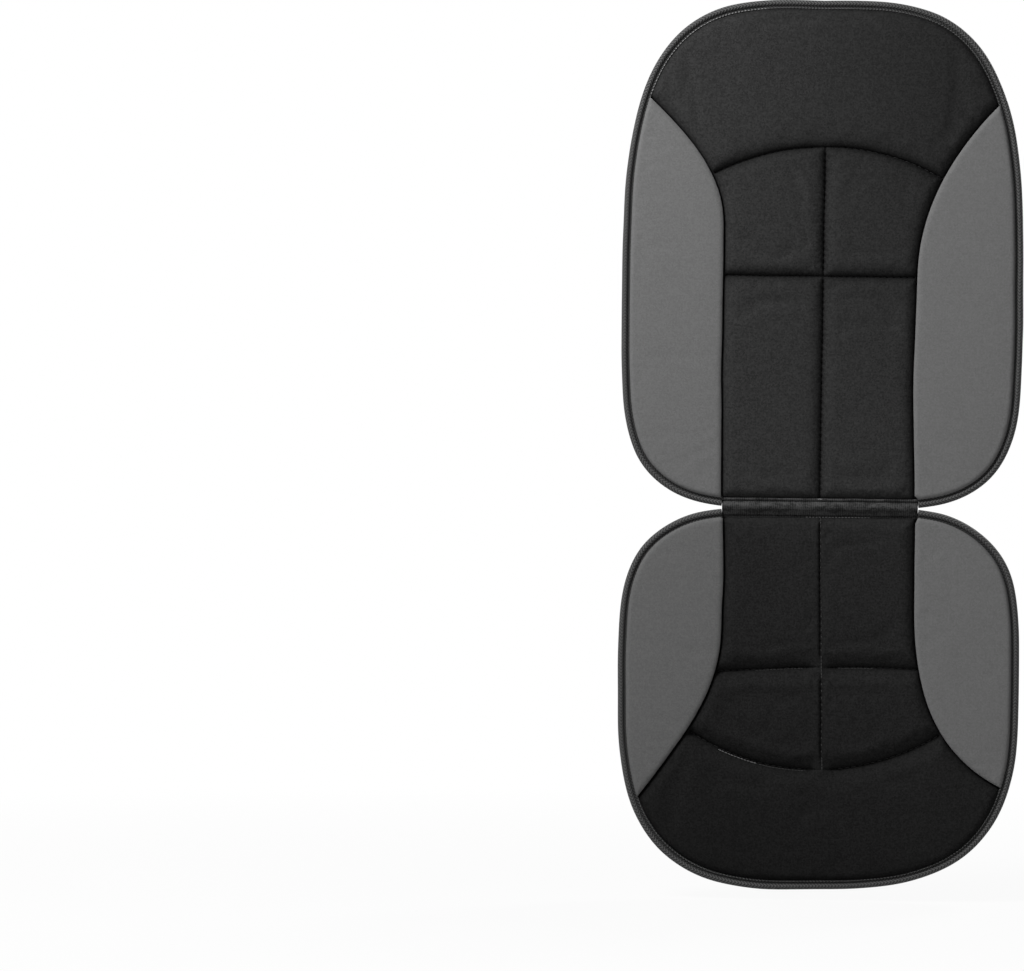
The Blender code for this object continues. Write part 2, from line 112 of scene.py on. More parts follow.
# Painted shade beside the sewn lines, darkening the cloth: share of the tone lost at the line, and how
# far it reaches
Tuck = namedtuple("Tuck", "share reach")
LEVEL_CREASE_SHADE = Tuck(0.66, 0.0068)
SEAT_LEVEL_CREASE_SHADE = Tuck(0.50, 0.0036)
UPRIGHT_CREASE_SHADE = Tuck(0.58, 0.0036)
SEAT_MIDDLE_CREASE_SHADE = Tuck(0.60, 0.0016)
BACK_TAPE_CREASE_SHADE = Tuck(0.60, 0.0050)
SEAT_TAPE_CREASE_SHADE = Tuck(0.10, 0.0030)

# Where the channels meet, the cloth puckers up: how much of their depth and of their painted shade is
# lost there
Sewing = namedtuple("Sewing", "crease level_tuck middle middle_tuck tape_tuck knot_rise knot_light")
BACK_SEWING = Sewing(CREASE, LEVEL_CREASE_SHADE, MIDDLE_CREASE, UPRIGHT_CREASE_SHADE, BACK_TAPE_CREASE_SHADE, 0.20, 0.35)
SEAT_SEWING = Sewing(
    SEAT_CREASE, SEAT_LEVEL_CREASE_SHADE, SEAT_MIDDLE, SEAT_MIDDLE_CREASE_SHADE, SEAT_TAPE_CREASE_SHADE, 0.70, 1.0
)
KNOT_REACH = 0.0115
Line = namedtuple("Line", "runs roll tuck is_channel", defaults=(None, False))

# Painted shade on the black cloth, slowly darker: to the back's upper right, down the seat and to its
# left
BACK_SHADE = 0.31
BACK_SHADE_ACROSS = (-0.12, 0.15)
BACK_SHADE_UP = (-0.20, 0.22)
SEAT_SHADE = 0.36
SEAT_LEFT_SHADE = 0.16
SEAT_LEFT_SHADE_ACROSS = (0.12, -0.12)

# Unevenness: a waver of every sewn line, rolls of uneven reach, puckers beside the seams and low lumps
WAVER = 0.0007
WAVER_SIZE = 0.060
UNEVEN_SHARE = 0.16
UNEVEN_SIZE = 0.035
PUCKER_HEIGHT = 0.00035
PUCKER_SIZE = 0.007
PUCKER_START = 0.0015
PUCKER_REACH = 0.006
LUMP_HEIGHT = 0.00022
LUMP_SIZE = 0.045
LUMP_REACH = 0.02

# The pads' rims are pulled towards each other beside the tape: across and away from the fold
LIFT_STARTS = (0.117, 0.123)
LIFT_ENDS = (0.145, 0.225)
LIFT_FADES = (0.012, 0.070)

# Panels: where they end and how finely they are meshed
LAYER_INSET = 0.0103
SEAM_GAP = 0.0004
CHANNEL_MARGIN = 0.0012
BACK_FACE_SETBACK = 0.0132
SEAT_FACE_SETBACK = 0.0108
EDGE_STEP = 0.0030
MIDDLE_STEP = 0.0014
FLANKS = (0.0006, 0.0016, 0.0031, 0.0053, 0.0083, 0.0122)
FLANK_CLEARANCE = 0.85
PANEL_GRID = 0.0062
LEAST_SPACING = 0.0009
SHARP_EDGE = 60

# Cloth simulation of the padded faces
CLOTH_SETTINGS = {
    "quality": 4,
    "tension_stiffness": 20,
    "compression_stiffness": 20,
    "shear_stiffness": 8,
    "bending_stiffness": 0.4,
    "use_pressure": True,
    "uniform_pressure_force": 4.0,
    "vertex_group_mass": "sewn",
    "shrink_min": -0.02,
}
SIM_FRAMES = 16
CENTRE_SWELL = 0.0014
SIDE_SWELL = 0.0004
SIM_FREE_REACH = 0.024
PIN_REACH = 0.0007

# Edge binding: (inset from the rim, depth) round its section, from the front lip to the rear lip
BINDING_SECTION = (
    (0.0115, -0.0106), (0.0118, -0.0118), (0.0107, -0.0125), (0.0094, -0.0120), (0.0082, -0.0109),
    (0.0072, -0.0119), (0.0059, -0.0138), (0.0041, -0.0144), (0.0022, -0.0135), (0.0007, -0.0110),
    (0.0000, -0.0072), (0.0008, -0.0030), (0.0024, -0.0004), (0.0044, 0.0007), (0.0064, 0.0005),
    (0.0077, -0.0001), (0.0090, 0.0006), (0.0107, 0.0007), (0.0113, 0.0002), (0.0112, -0.0012),
)
BINDING_STITCH_SPOT = (0.0105, -0.0126)
BINDING_MIDDLE = 0.0052
BINDING_STEP = 0.0025
BINDING_END_GAP = 0.0002
BINDING_WAVE = 0.05
BINDING_WAVE_SIZE = 0.03
PALE_STITCHES_FROM = -0.216
PALE_STITCHES_TO = -0.070
PALE_STITCHES_ABOVE = 0.2

# Folding tape: (height above the fold, depth) down its front, and how it bends and wavers
TAPE_FRONT = (
    (0.0137, -0.0102), (0.0131, -0.0110), (0.0119, -0.0112), (0.0108, -0.0105), (0.0098, -0.0086),
    (0.0088, -0.0099), (0.0072, -0.0122), (0.0052, -0.0137), (0.0034, -0.0141), (0.0017, -0.0135),
    (0.0000, -0.0125), (-0.0025, -0.0111), (-0.0048, -0.0101), (-0.0066, -0.0095), (-0.0077, -0.0088),
    (-0.0083, -0.0072), (-0.0094, -0.0070), (-0.0110, -0.0070),
)
TAPE_REAR = 0.0066
TAPE_STEP = 0.0030
TAPE_SECTION_STEP = 0.0008
TAPE_CREST_REACH = 0.009
TAPE_SWAY = 0.0004
TAPE_SWAY_SIZE = 0.03
TAPE_LUMP = 0.0004
TAPE_LUMP_SIZE = 0.012
TAPE_END_PINCH = 0.0012
TAPE_END_REACH = 0.004

# Backing cloth: where it ends, its grooves, and the (depth, radius) of its grip dots
BACKING_SETBACK = 0.0098
BACKING_FRONT = -0.0016
GROOVE_DEPTH = 0.0009
GROOVE_REACH = 0.007
DOT_PROFILE = ((-0.0002, 0.0), (0.0, 0.0016), (0.00018, 0.0012), (0.00026, 0.0006), (0.00028, 0.0))
DOT_SIDES = 8
DOT_PITCH = 0.0135
DOT_CLEARANCE = 0.008

# Straps and patches
WEBBING_RIBS = 9
WEBBING_RIB_STEPS = 8
WEBBING_RIB_DEPTH = 0.18
WEBBING_SQUARENESS = 14
WEBBING_STEP = 0.003
WEBBING_WAVE = 0.012
TAB_STITCH_INSET = 0.0030
TAB_STITCH_BELOW = (0.0105, 0.0020)
TAB_STITCH_RISE = 0.0001
PATCH_BASE_SHARE = 0.4
PATCH_PILE_SHARE = 0.55
PATCH_MARGINS = (0.0012, 0.001)
PATCH_ROUNDING = 0.0002
PATCH_WIRE = 0.00011
PATCH_SHARP_EDGE = 50
TURNED_SHARP_EDGE = 35

# Looks: where a tone ramp is darkest and lightest, the wave texture's own period, and the cool tint
RAMP_ENDS = (0.28, 0.72)
WAVE_PERIOD = math.tau / 20
TINT = 0.001
BLACK_CONTRAST = 0.27
GREY_CONTRAST = 0.09

# Camera: square to the front, the cover in the right part of the frame
CAMERA_DISTANCE = 6.0
CAMERA_Z = -0.2344
FACE_Y = -0.012
FRAME_WIDTH = 1.28
AIM_X = -0.385
SENSOR_WIDTH = 36.0
ROLL = math.radians(0.62)
FLOOR_GAP = 0.014

# The depth, and the two directions across it
DEPTH_AXES = (Vector((0.0, 1.0, 0.0)), Vector((1.0, 0.0, 0.0)), Vector((0.0, 0.0, 1.0)))

# A seam runs beside the tape's line by inset, bows inwards, and from its bend curves by pull and turn
Seam = namedtuple("Seam", "inset bow bend pull turn end_from_side")
Pad = namedtuple(
    "Pad",
    "name rise drop top_roundness bottom_roundness centre_z tape_sign face_setback left_seam right_seam "
    "arc_apex arc_radius arc_tilt cross_channel cross_tilt cross_bow middle_lean "
    "left_shoulder right_shoulder left_lift right_lift sewing",
)
BACK = Pad(
    "back", 0.375, 0.258, 3.3, 4.2, 0.0, -1, BACK_FACE_SETBACK,
    Seam(-0.001, -0.001, 0.088, 0.050, (0.140, 0.180), 0.033),
    Seam(0.0045, 0.003, 0.020, 0.070, (0.139, 0.166), 0.031),
    0.192, 0.2975, 0.010, 0.0306, -0.0065, 0.0, 0.0024, 0.0080, 0.0024, -0.0022, -0.0022, BACK_SEWING,
)
SEAT = Pad(
    "seat", 0.2195, 0.253, 4.0, 2.95, -0.4815, 1, SEAT_FACE_SETBACK,
    Seam(0.0015, 0.0019, 0.085, 0.075, (0.138, -0.030), 0.026),
    Seam(0.0035, 0.0, 0.100, 0.080, (0.133, -0.077), 0.0215),
    -0.1035, 0.285, 0.013, 0.0241, 0.022, 0.0034, 0.0050, 0.0080, -0.0060, 0.0046, 0.0060, SEAT_SEWING,
)


# Outlines


def signed_power(value, power):
    return math.copysign(abs(value) ** power, value)


def rim_point(pad, angle, inset):
    """A point of the pad's outline, moved inwards along the outline's normal."""
    sine = math.sin(angle)
    height = pad.rise if sine >= 0 else pad.drop
    power = pad.top_roundness if sine >= 0 else pad.bottom_roundness
    across = signed_power(math.cos(angle), 2 / power)
    along = signed_power(sine, 2 / power)
    normal = (signed_power(across, power - 1) / PAD_HALF_WIDTH, signed_power(along, power - 1) / height)
    return Vector((PAD_HALF_WIDTH * across, height * along)) - inset * Vector(normal).normalized()


def walked(points):
    """Distance along a polyline to each of its points."""
    return np.cumsum([0.0] + [(b - a).length for a, b in zip(points, points[1:])])


def rim_angles(pad, inset, start_x, step):
    """Angles at even distances along the right rim, from beside the tape to the far centre."""
    fine = [pad.tape_sign * math.pi * (0.5 - i / RIM_SAMPLES) for i in range(RIM_SAMPLES + 1)]
    points = [rim_point(pad, angle, inset) for angle in fine]
    first = next(i for i, p in enumerate(points) if p.x >= start_x)
    share = (start_x - points[first - 1].x) / (points[first].x - points[first - 1].x)
    angles = [fine[first - 1] + share * (fine[first] - fine[first - 1])] + fine[first:]
    along = walked([rim_point(pad, angle, inset) for angle in angles])
    count = round(along[-1] / step)
    return list(np.interp(np.linspace(0, along[-1], count + 1), along, angles))


def resample(points, step):
    """Points at even distances along a polyline, its two ends included."""
    along = walked(points)
    count = max(2, round(along[-1] / step))
    targets = np.linspace(0, along[-1], count + 1)
    columns = [np.interp(targets, along, [p[k] for p in points]) for k in range(len(points[0]))]
    return [Vector(row) for row in zip(*columns)]


def heading(points, i):
    """Direction of a polyline at one of its points, at any length."""
    return points[min(i + 1, len(points) - 1)] - points[max(i - 1, 0)]


def offset_line(points, shift):
    """A polyline moved sideways, to the right of its run."""
    moved = []
    for i, point in enumerate(points):
        run = heading(points, i)
        moved.append(point + shift * Vector((run.y, -run.x)).normalized())
    return moved


def mirrored(points):
    """A line mirrored about the middle, run the other way."""
    return [Vector((-p.x, p.y)) for p in reversed(points)]


def closed(line):
    return list(line) + [line[0]]


def split_rim(pad, seam):
    """The right rim as its side stretch and its far stretch, which meet where this seam ends."""
    angles = rim_angles(pad, LAYER_INSET, TAPE_HALF_LENGTH, EDGE_STEP / 4)
    rim = [rim_point(pad, angle, LAYER_INSET) for angle in angles]
    rim[-1].x = 0.0
    widest = max(range(len(rim)), key=lambda i: rim[i].x)
    corner_x = PAD_HALF_WIDTH - seam.end_from_side
    corner = next(i for i in range(widest, len(rim)) if rim[i].x <= corner_x)
    return resample(rim[: corner + 1], EDGE_STEP), resample(rim[corner:], EDGE_STEP)


def tape_edge(pad, setback):
    """Height, from the pad's widest line, of a layer's straight edge along the tape."""
    return FOLD_Z - pad.centre_z - pad.tape_sign * setback


def seam_line(pad, seam, start, corner, shift):
    """A seam, drawn on the right, from the tape's side to the rim, moved sideways by shift."""
    edge = TAPE_HALF_LENGTH - seam.inset
    bend = Vector((edge, seam.bend))
    pull = bend - Vector((0.0, pad.tape_sign * seam.pull))
    turn = Vector(seam.turn)
    points = []
    for i in range(SEAM_STEPS):
        t = i / SEAM_STEPS
        inwards = seam.bow * math.sin(math.pi * t) ** 2
        points.append(Vector((edge - inwards, start + (seam.bend - start) * t)))
    for i in range(SEAM_STEPS + 1):
        t = i / SEAM_STEPS
        u = 1 - t
        points.append(u**3 * bend + 3 * u * u * t * pull + 3 * u * t * t * turn + t**3 * corner)
    return offset_line(resample(points, EDGE_STEP), -pad.tape_sign * shift)


def centre_lines(pad):
    """The black centre's border in parts: right seam, far rim, left seam and the edge along the tape."""
    edge = tape_edge(pad, pad.face_setback)
    _, far_right = split_rim(pad, pad.right_seam)
    _, far_left = split_rim(pad, pad.left_seam)
    right = seam_line(pad, pad.right_seam, edge, far_right[0], -SEAM_GAP)
    left = mirrored(seam_line(pad, pad.left_seam, edge, far_left[0], -SEAM_GAP))
    far = [right[-1]] + far_right[1:] + mirrored(far_left[1:-1]) + [left[0]]
    along_tape = resample([left[-1], right[0]], EDGE_STEP)
    return right, far, left, along_tape


def side_lines(pad, seam):
    """A grey side's border in parts, drawn on the right: outer rim and seam."""
    side, _ = split_rim(pad, seam)
    line = seam_line(pad, seam, side[0].y, side[-1], SEAM_GAP)
    corner = intersect_line_line_2d(side[-2], side[-1], line[-2], line[-1]) or side[-1]
    return side[:-1] + [corner], [corner] + line[-2::-1]


def arc_height(pad, x):
    drop = pad.arc_radius - math.sqrt(pad.arc_radius**2 - x * x)
    return pad.arc_apex + pad.tape_sign * drop + pad.arc_tilt * x


def cross_height(pad, x):
    return pad.cross_channel + pad.cross_tilt * x - pad.cross_bow * (x / TAPE_HALF_LENGTH) ** 2


def channels(pad):
    """The sewn lines of a centre panel: a curved one, one across and one down the middle."""
    reach = PAD_HALF_WIDTH - LAYER_INSET
    count = 2 * round(reach / EDGE_STEP)
    across = [reach * (2 * i / count - 1) for i in range(count + 1)]
    curved = [Vector((x, arc_height(pad, x))) for x in across]
    level = [Vector((x, cross_height(pad, x))) for x in across]
    far_end = Vector((pad.middle_lean, arc_height(pad, pad.middle_lean)))
    middle = resample([far_end, Vector((0.0, tape_edge(pad, pad.face_setback)))], MIDDLE_STEP)
    return curved, level, middle


# Plane geometry on arrays of points


def as_array(points):
    return np.array([(p[0], p[1]) for p in points])


def distance(spots, line):
    """Least distance of each spot to a polyline."""
    best = np.full(len(spots), np.inf)
    corners = as_array(line)
    for start, end in zip(corners, corners[1:]):
        run = end - start
        share = np.clip((spots - start) @ run / max(run @ run, 1e-12), 0, 1)
        best = np.minimum(best, np.hypot(*(spots - start - share[:, None] * run).T))
    return best


def clearance(spots, lines):
    """Least distance of each spot to any of these lines."""
    return np.min([distance(spots, line) for line in lines], axis=0)


def inside(spots, polygon):
    crossings = np.zeros(len(spots), bool)
    corners = as_array(polygon)
    for a, b in zip(corners, np.roll(corners, -1, axis=0)):
        spans = (a[1] > spots[:, 1]) != (b[1] > spots[:, 1])
        rise = b[1] - a[1] if b[1] != a[1] else 1e-12
        crossings ^= spans & (spots[:, 0] < a[0] + (spots[:, 1] - a[1]) * (b[0] - a[0]) / rise)
    return crossings


def ramp(values, low, high):
    """0 at low, 1 at high, straight between and level beyond."""
    return np.clip((values - low) / (high - low), 0, 1)


def ripple(spots, scale, seed):
    """Smooth noise from -1 to 1 at each spot; scale is the size of its lumps."""
    return np.array([noise.noise((x / scale, y / scale, seed)) for x, y in spots])


def thinned(spots):
    """Leaves out spots that crowd one kept before them."""
    kept = {}
    for x, y in spots:
        kept.setdefault((round(x / LEAST_SPACING), round(y / LEAST_SPACING)), (x, y))
    return np.array(list(kept.values()))


def staggered(low, high, pitch):
    """A grid of points, every other row moved by half a step."""
    columns = np.arange(low[0], high[0], pitch)
    rows = np.arange(low[1], high[1], pitch * math.sqrt(3) / 2)
    return np.array([(x + pitch / 2 * (k % 2), y) for k, y in enumerate(rows) for x in columns])


def panel_spots(polygon, lines):
    """Inner points of a panel: rows beside the border and the sewn lines, and a grid between."""
    rows = []
    for flank in FLANKS:
        row = as_array([p for line in lines for side in (flank, -flank) for p in offset_line(line, side)])
        rows.append(row[clearance(row, lines) > FLANK_CLEARANCE * flank])
    corners = as_array(polygon)
    grid = staggered(corners.min(0), corners.max(0), PANEL_GRID)
    rows.append(grid[clearance(grid, lines) > FLANKS[-1] + PANEL_GRID / 2])
    spots = thinned(np.concatenate(rows))
    return spots[inside(spots, polygon)]


def panel_mesh(polygon, sewn):
    """Flat triangles of a panel that keep its border and its sewn lines as edges."""
    spots = list(polygon)
    edges = [(i, (i + 1) % len(polygon)) for i in range(len(polygon))]
    for line in sewn:
        first = len(spots)
        spots += line
        edges += [(first + i, first + i + 1) for i in range(len(line) - 1)]
    spots += [Vector(p) for p in panel_spots(polygon, [closed(polygon)] + sewn)]
    flat, _, faces, *_ = delaunay_2d_cdt(spots, edges, [], 1, 1e-7)
    used = sorted({i for face in faces for i in face})
    place = {old: new for new, old in enumerate(used)}
    return as_array([flat[i] for i in used]), [tuple(place[i] for i in face) for face in faces]


def clipped(line, polygon):
    """The stretch of a line inside a polygon and clear of its border."""
    spots = as_array(line)
    clear = distance(spots, closed(polygon)) > CHANNEL_MARGIN
    return [p for p, ok in zip(line, clear & inside(spots, polygon)) if ok]


# Meshes and objects


def add_object(name, bm, material, smooth=True, sharp_from=None):
    """An object from a mesh, with edges sharp from this angle in degrees."""
    bmesh.ops.recalc_face_normals(bm, faces=bm.faces)
    mesh = bpy.data.meshes.new(name)
    bm.to_mesh(mesh)
    bm.free()
    mesh.materials.append(material)
    if smooth:
        mesh.shade_smooth()
    if sharp_from:
        mesh.set_sharp_from_angle(angle=math.radians(sharp_from))
    obj = bpy.data.objects.new(name, mesh)
    bpy.context.scene.collection.objects.link(obj)
    return obj


def eased(value, low, high):
    """0 below low, 1 above high, smooth between."""
    share = min(1.0, max(0.0, (value - low) / (high - low)))
    return share * share * (3 - 2 * share)


def settle(obj, meets_tape):
    """Gives a sewn piece the outline's fuller shoulders, the pull beside the tape and a slight waver.

    A piece that meets the tape's long edge isn't pulled.
    """
    for vert in obj.data.vertices:
        x, _, z = vert.co
        pad = BACK if z > FOLD_Z else SEAT
        up = (z - pad.centre_z) / (pad.rise if z > pad.centre_z else pad.drop)
        outer = up if pad.tape_sign * up < 0 else 0.0
        shoulder = pad.left_shoulder if x < 0 else pad.right_shoulder
        place = Vector((x, 0.0, z)) / WAVER_SIZE
        free = min(1.0, abs(z - FOLD_Z) / WAVER_SIZE)
        vert.co.z += shoulder * abs(x) / PAD_HALF_WIDTH * outer * abs(outer)
        if not meets_tape:
            lift = pad.left_lift if x < 0 else pad.right_lift
            beside_tape = eased(abs(x), *LIFT_STARTS) * (1 - eased(abs(x), *LIFT_ENDS))
            vert.co.z += lift * beside_tape * (1 - eased(abs(z - FOLD_Z), *LIFT_FADES))
        vert.co.x += WAVER * free * noise.noise(place + Vector((0.0, 3.0, 0.0)))
        vert.co.z += WAVER * free * noise.noise(place + Vector((0.0, 8.0, 0.0)))


def dress(obj, body, slot, *nodes):
    """Attaches a piece to the body that it rides on and hides the solids that it stands for. slot is not
    used.
    """
    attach(obj, body)
    if nodes:
        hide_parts(*nodes)


def sew(obj, pad, slot, *nodes, meets_tape=False):
    """Settles a piece that is sewn to a pad, and dresses it."""
    settle(obj, meets_tape)
    dress(obj, pad.name + "_pad", slot, *nodes)


def closed_sheet(name, front, faces, base_y, material, tuck=()):
    """A relief closed by a skirt and a flat base.

    The last argument gives the share of painted shade at each point, kept as a point attribute.
    """
    bm = bmesh.new()
    layer = bm.verts.layers.float.new("tuck")
    verts = [bm.verts.new(p) for p in front]
    for vert, share in zip(verts, tuck):
        vert[layer] = share
    for face in faces:
        bm.faces.new([verts[i] for i in face])
    border = [e for e in bm.edges if e.is_boundary]
    skirt = bmesh.ops.extrude_edge_only(bm, edges=border)["geom"]
    for vert in skirt:
        if isinstance(vert, bmesh.types.BMVert):
            vert.co.y = base_y
    rim = [e for e in skirt if isinstance(e, bmesh.types.BMEdge) and e.is_boundary]
    bmesh.ops.triangle_fill(bm, use_beauty=True, edges=rim)
    return add_object(name, bm, material, sharp_from=SHARP_EDGE)


def bridge(bm, first, second):
    """Faces between two rings of vertices, one of which may be a single vertex."""
    sides = max(len(first), len(second))
    faces = []
    for k in range(sides):
        n = (k + 1) % sides
        corners = [first[k % len(first)], first[n % len(first)]]
        corners += [second[n % len(second)], second[k % len(second)]]
        faces.append(bm.faces.new(list(dict.fromkeys(corners))))
    return faces


def lathe(bm, profile, place, axes, sides, is_ring=False):
    """Turns a profile of (distance along, radius) about the first of three axes through place."""
    along, side, out = axes
    turns = [math.tau * k / sides for k in range(sides)]
    rings = []
    for reach, radius in profile:
        centre = place + reach * along
        spots = [centre + radius * (math.cos(t) * side + math.sin(t) * out) for t in turns]
        rings.append([bm.verts.new(spot) for spot in (spots if radius else [centre])])
    for first, second in zip(rings, rings[1:] + rings[:1] if is_ring else rings[1:]):
        bridge(bm, first, second)


def swept(name, rings, lengths, section, material, sharp_from=None):
    """A closed section swept along a path, with a UV map in metres: along the path and round it."""
    widths = walked(closed(section))
    bm = bmesh.new()
    uv = bm.loops.layers.uv.new("metres")
    loops = [[bm.verts.new(p) for p in ring] for ring in rings]
    for i in range(len(loops) - 1):
        start, end = lengths[i : i + 2]
        for k, face in enumerate(bridge(bm, loops[i], loops[i + 1])):
            low, high = widths[k : k + 2]
            spots = (start, low), (start, high), (end, high), (end, low)
            for loop, spot in zip(face.loops, spots):
                loop[uv].uv = spot
    bm.faces.new(loops[0])
    bm.faces.new(loops[-1])
    return add_object(name, bm, material, sharp_from=sharp_from)


def smooth(points, per_side, is_loop=False):
    """A Catmull-Rom curve through points, open or closed."""
    ends = [points[-1], *points, *points[:2]] if is_loop else [points[0], *points, points[-1]]
    result = []
    for i in range(len(ends) - 3):
        a, b, c, d = (Vector(p) for p in ends[i : i + 4])
        cubic = 3 * b - a - 3 * c + d
        for k in range(per_side):
            t = k / per_side
            result.append(0.5 * (2 * b + (c - a) * t + (2 * a - 5 * b + 4 * c - d) * t**2 + cubic * t**3))
    return result if is_loop else result + [Vector(points[-1])]


def stitch_run(name, path, stitch, material):
    """Short rounded stitches along a path in space."""
    spots = resample(path, stitch.pitch)
    profile = [(along * stitch.length, wide * stitch.radius) for along, wide in STITCH_SHAPE]
    bm = bmesh.new()
    for first, second in zip(spots, spots[1:]):
        run = (second - first).normalized()
        side = run.cross(DEPTH_AXES[0]).normalized()
        lathe(bm, profile, (first + second) / 2, (run, side, side.cross(run)), STITCH_SIDES)
    return add_object(name, bm, material)


# Padding


def inflated(front, faces, nearest, most):
    """Swells a sewn-down sheet with the cloth solver: by most at the utmost, and by less near a seam."""
    scene = bpy.context.scene
    mesh = bpy.data.meshes.new("quilt_sim")
    mesh.from_pydata(front.tolist(), [], faces)
    obj = bpy.data.objects.new("quilt_sim", mesh)
    scene.collection.objects.link(obj)
    group = obj.vertex_groups.new(name="sewn")
    group.add([int(i) for i in np.flatnonzero(nearest < PIN_REACH)], 1.0, "REPLACE")
    cloth = obj.modifiers.new("quilt", "CLOTH")
    for key, value in CLOTH_SETTINGS.items():
        setattr(cloth.settings, key, value)
    cloth.settings.effector_weights.gravity = 0
    cloth.collision_settings.use_collision = False
    for step in range(1, SIM_FRAMES + 1):
        scene.frame_set(step)
    result = obj.evaluated_get(bpy.context.evaluated_depsgraph_get())
    moved = np.empty(len(front) * 3)
    result.data.vertices.foreach_get("co", moved)
    scene.frame_set(1)
    bpy.data.objects.remove(obj, do_unlink=True)
    move = moved.reshape(-1, 3) - front
    size = np.linalg.norm(move, axis=1, keepdims=True)
    cap = most * ramp(nearest, 0, SIM_FREE_REACH)[:, None]
    return front + move * np.minimum(1.0, cap / np.maximum(size, 1e-9))


def relief(spots, lines, knotted):
    """Depth of a quilted face. knotted says how far the channels rise at each spot."""
    drop = np.zeros(len(spots))
    uneven = 1 + UNEVEN_SHARE * ripple(spots, UNEVEN_SIZE, 2.0)
    between_stitches = 0.5 - 0.5 * np.cos(math.tau * spots.sum(axis=1) / CHANNEL_STITCH.pitch)
    for line in lines:
        roll = line.roll
        nearest = clearance(spots, line.runs)
        share = ramp(nearest, 0, roll.reach * uneven)
        fall = (CROWN_DEPTH - roll.depth) * (1 - share) ** roll.power
        fall += roll.pinch * (1 - roll.beads * between_stitches) * np.exp(-nearest / PINCH_REACH)
        if line.is_channel:
            fall *= 1 - knotted
        drop += fall**4
    return CROWN_DEPTH - drop**0.25


def padded_face(name, pad, polygon, sewn, lines, knots, swell, material):
    """One sewn panel with its padding: relief, swelling, puckers at the stitches, painted shade by its
    sewn lines, closed behind.
    """
    spots, faces = panel_mesh(polygon, sewn)
    near_knot = np.zeros(len(spots))
    for knot in knots:
        away = np.hypot(*(spots - np.array(knot)).T)
        near_knot = np.maximum(near_knot, np.exp(-((away / KNOT_REACH) ** 2)))
    depth = relief(spots, lines, pad.sewing.knot_rise * near_knot)
    front = np.column_stack([spots[:, 0], -depth, pad.centre_z + spots[:, 1]])
    a, b, c = (front[np.array(faces)[:, k]] for k in range(3))
    if np.cross(b - a, c - a)[:, 1].sum() > 0:
        faces = [face[::-1] for face in faces]
    nearest = clearance(spots, [closed(polygon)] + sewn)
    front = inflated(front, faces, nearest, swell)
    pucker = np.exp(-nearest / PUCKER_REACH) * ramp(nearest, 0, PUCKER_START)
    front[:, 1] -= PUCKER_HEIGHT * pucker * ripple(spots, PUCKER_SIZE, 5.0)
    front[:, 1] -= LUMP_HEIGHT * ramp(nearest, 0, LUMP_REACH) * ripple(spots, LUMP_SIZE, 9.0)
    front[:, 1] = np.maximum(front[:, 1], -CROWN_LIMIT)
    tuck = painted_shade_share(pad, spots, lines, pad.sewing.knot_light * near_knot)
    return closed_sheet(name, front, faces, -FOAM_REAR, material, tuck)


def painted_shading(pad, spots):
    """Tone of the black cloth at each spot, as a share of its full tone: painted shade, slowly darker to
    the back's upper right, down the seat and to its left.
    """
    if pad is SEAT:
        downwards = 1 - SEAT_SHADE * (pad.rise - spots[:, 1]) / (pad.rise + pad.drop)
        return downwards * (1 - SEAT_LEFT_SHADE * ramp(spots[:, 0], *SEAT_LEFT_SHADE_ACROSS))
    return 1 - BACK_SHADE * ramp(spots[:, 0], *BACK_SHADE_ACROSS) * ramp(spots[:, 1], *BACK_SHADE_UP)


def painted_shade_share(pad, spots, lines, knotted):
    """Share of its tone that painted shade takes from the cloth at each spot. knotted says how far the
    channels' painted shade is lifted.
    """
    shaded_lines = [line for line in lines if line.tuck]
    if not shaded_lines:
        return ()
    tone = painted_shading(pad, spots)
    for line in shaded_lines:
        share = line.tuck.share * np.exp(-clearance(spots, line.runs) / line.tuck.reach)
        tone *= 1 - share * (1 - knotted if line.is_channel else 1)
    return 1 - tone


def make_centre(pad, material):
    seam, far, left, along_tape = border = centre_lines(pad)
    polygon = [point for line in border for point in line[:-1]]
    arc, cross, middle = sewn = [clipped(line, polygon) for line in channels(pad)]
    sewing = pad.sewing
    lines = (
        Line((arc, cross), sewing.crease, sewing.level_tuck, True),
        Line((middle,), sewing.middle, sewing.middle_tuck, True),
        Line((seam, left), SEAM, UPRIGHT_CREASE_SHADE),
        Line((far,), BORDER, UPRIGHT_CREASE_SHADE),
        Line((along_tape,), TAPE_SIDE, sewing.tape_tuck),
    )
    crossing = min(middle, key=lambda p: abs(p.y - cross_height(pad, p.x)))
    name = pad.name + "_quilt_center"
    obj = padded_face(name, pad, polygon, sewn, lines, (middle[0], crossing), CENTRE_SWELL, material)
    solids = (pad.name + "_center_panel", pad.name + "_foam_core")
    sew(obj, pad, "black_fabric", *solids, meets_tape=True)
    return sewn


def make_side(pad, side, material):
    rim, seam = side_lines(pad, pad.left_seam if side == "left" else pad.right_seam)
    if side == "left":
        rim, seam = mirrored(rim), mirrored(seam)
        polygon = seam[:-1] + rim[:-1]
    else:
        polygon = rim[:-1] + seam[:-1]
    lines = (Line((seam,), GREY_SEAM), Line((rim,), GREY_BORDER))
    name = f"{pad.name}_quilt_side_{side}"
    obj = padded_face(name, pad, polygon, [], lines, (), SIDE_SWELL, material)
    sew(obj, pad, "grey_fabric", f"{pad.name}_side_panel_{side}")


def make_channel_stitches(pad, sewn, material):
    rolls = (pad.sewing.crease, pad.sewing.crease, pad.sewing.middle)
    for line, kind, roll in zip(sewn, ("arc", "cross", "middle"), rolls):
        depth = roll.depth - roll.pinch + CHANNEL_STITCH.radius
        path = [Vector((p.x, -depth, pad.centre_z + p.y)) for p in line]
        obj = stitch_run(f"{pad.name}_{kind}_stitches", path, CHANNEL_STITCH, material)
        sew(obj, pad, "black_fabric")


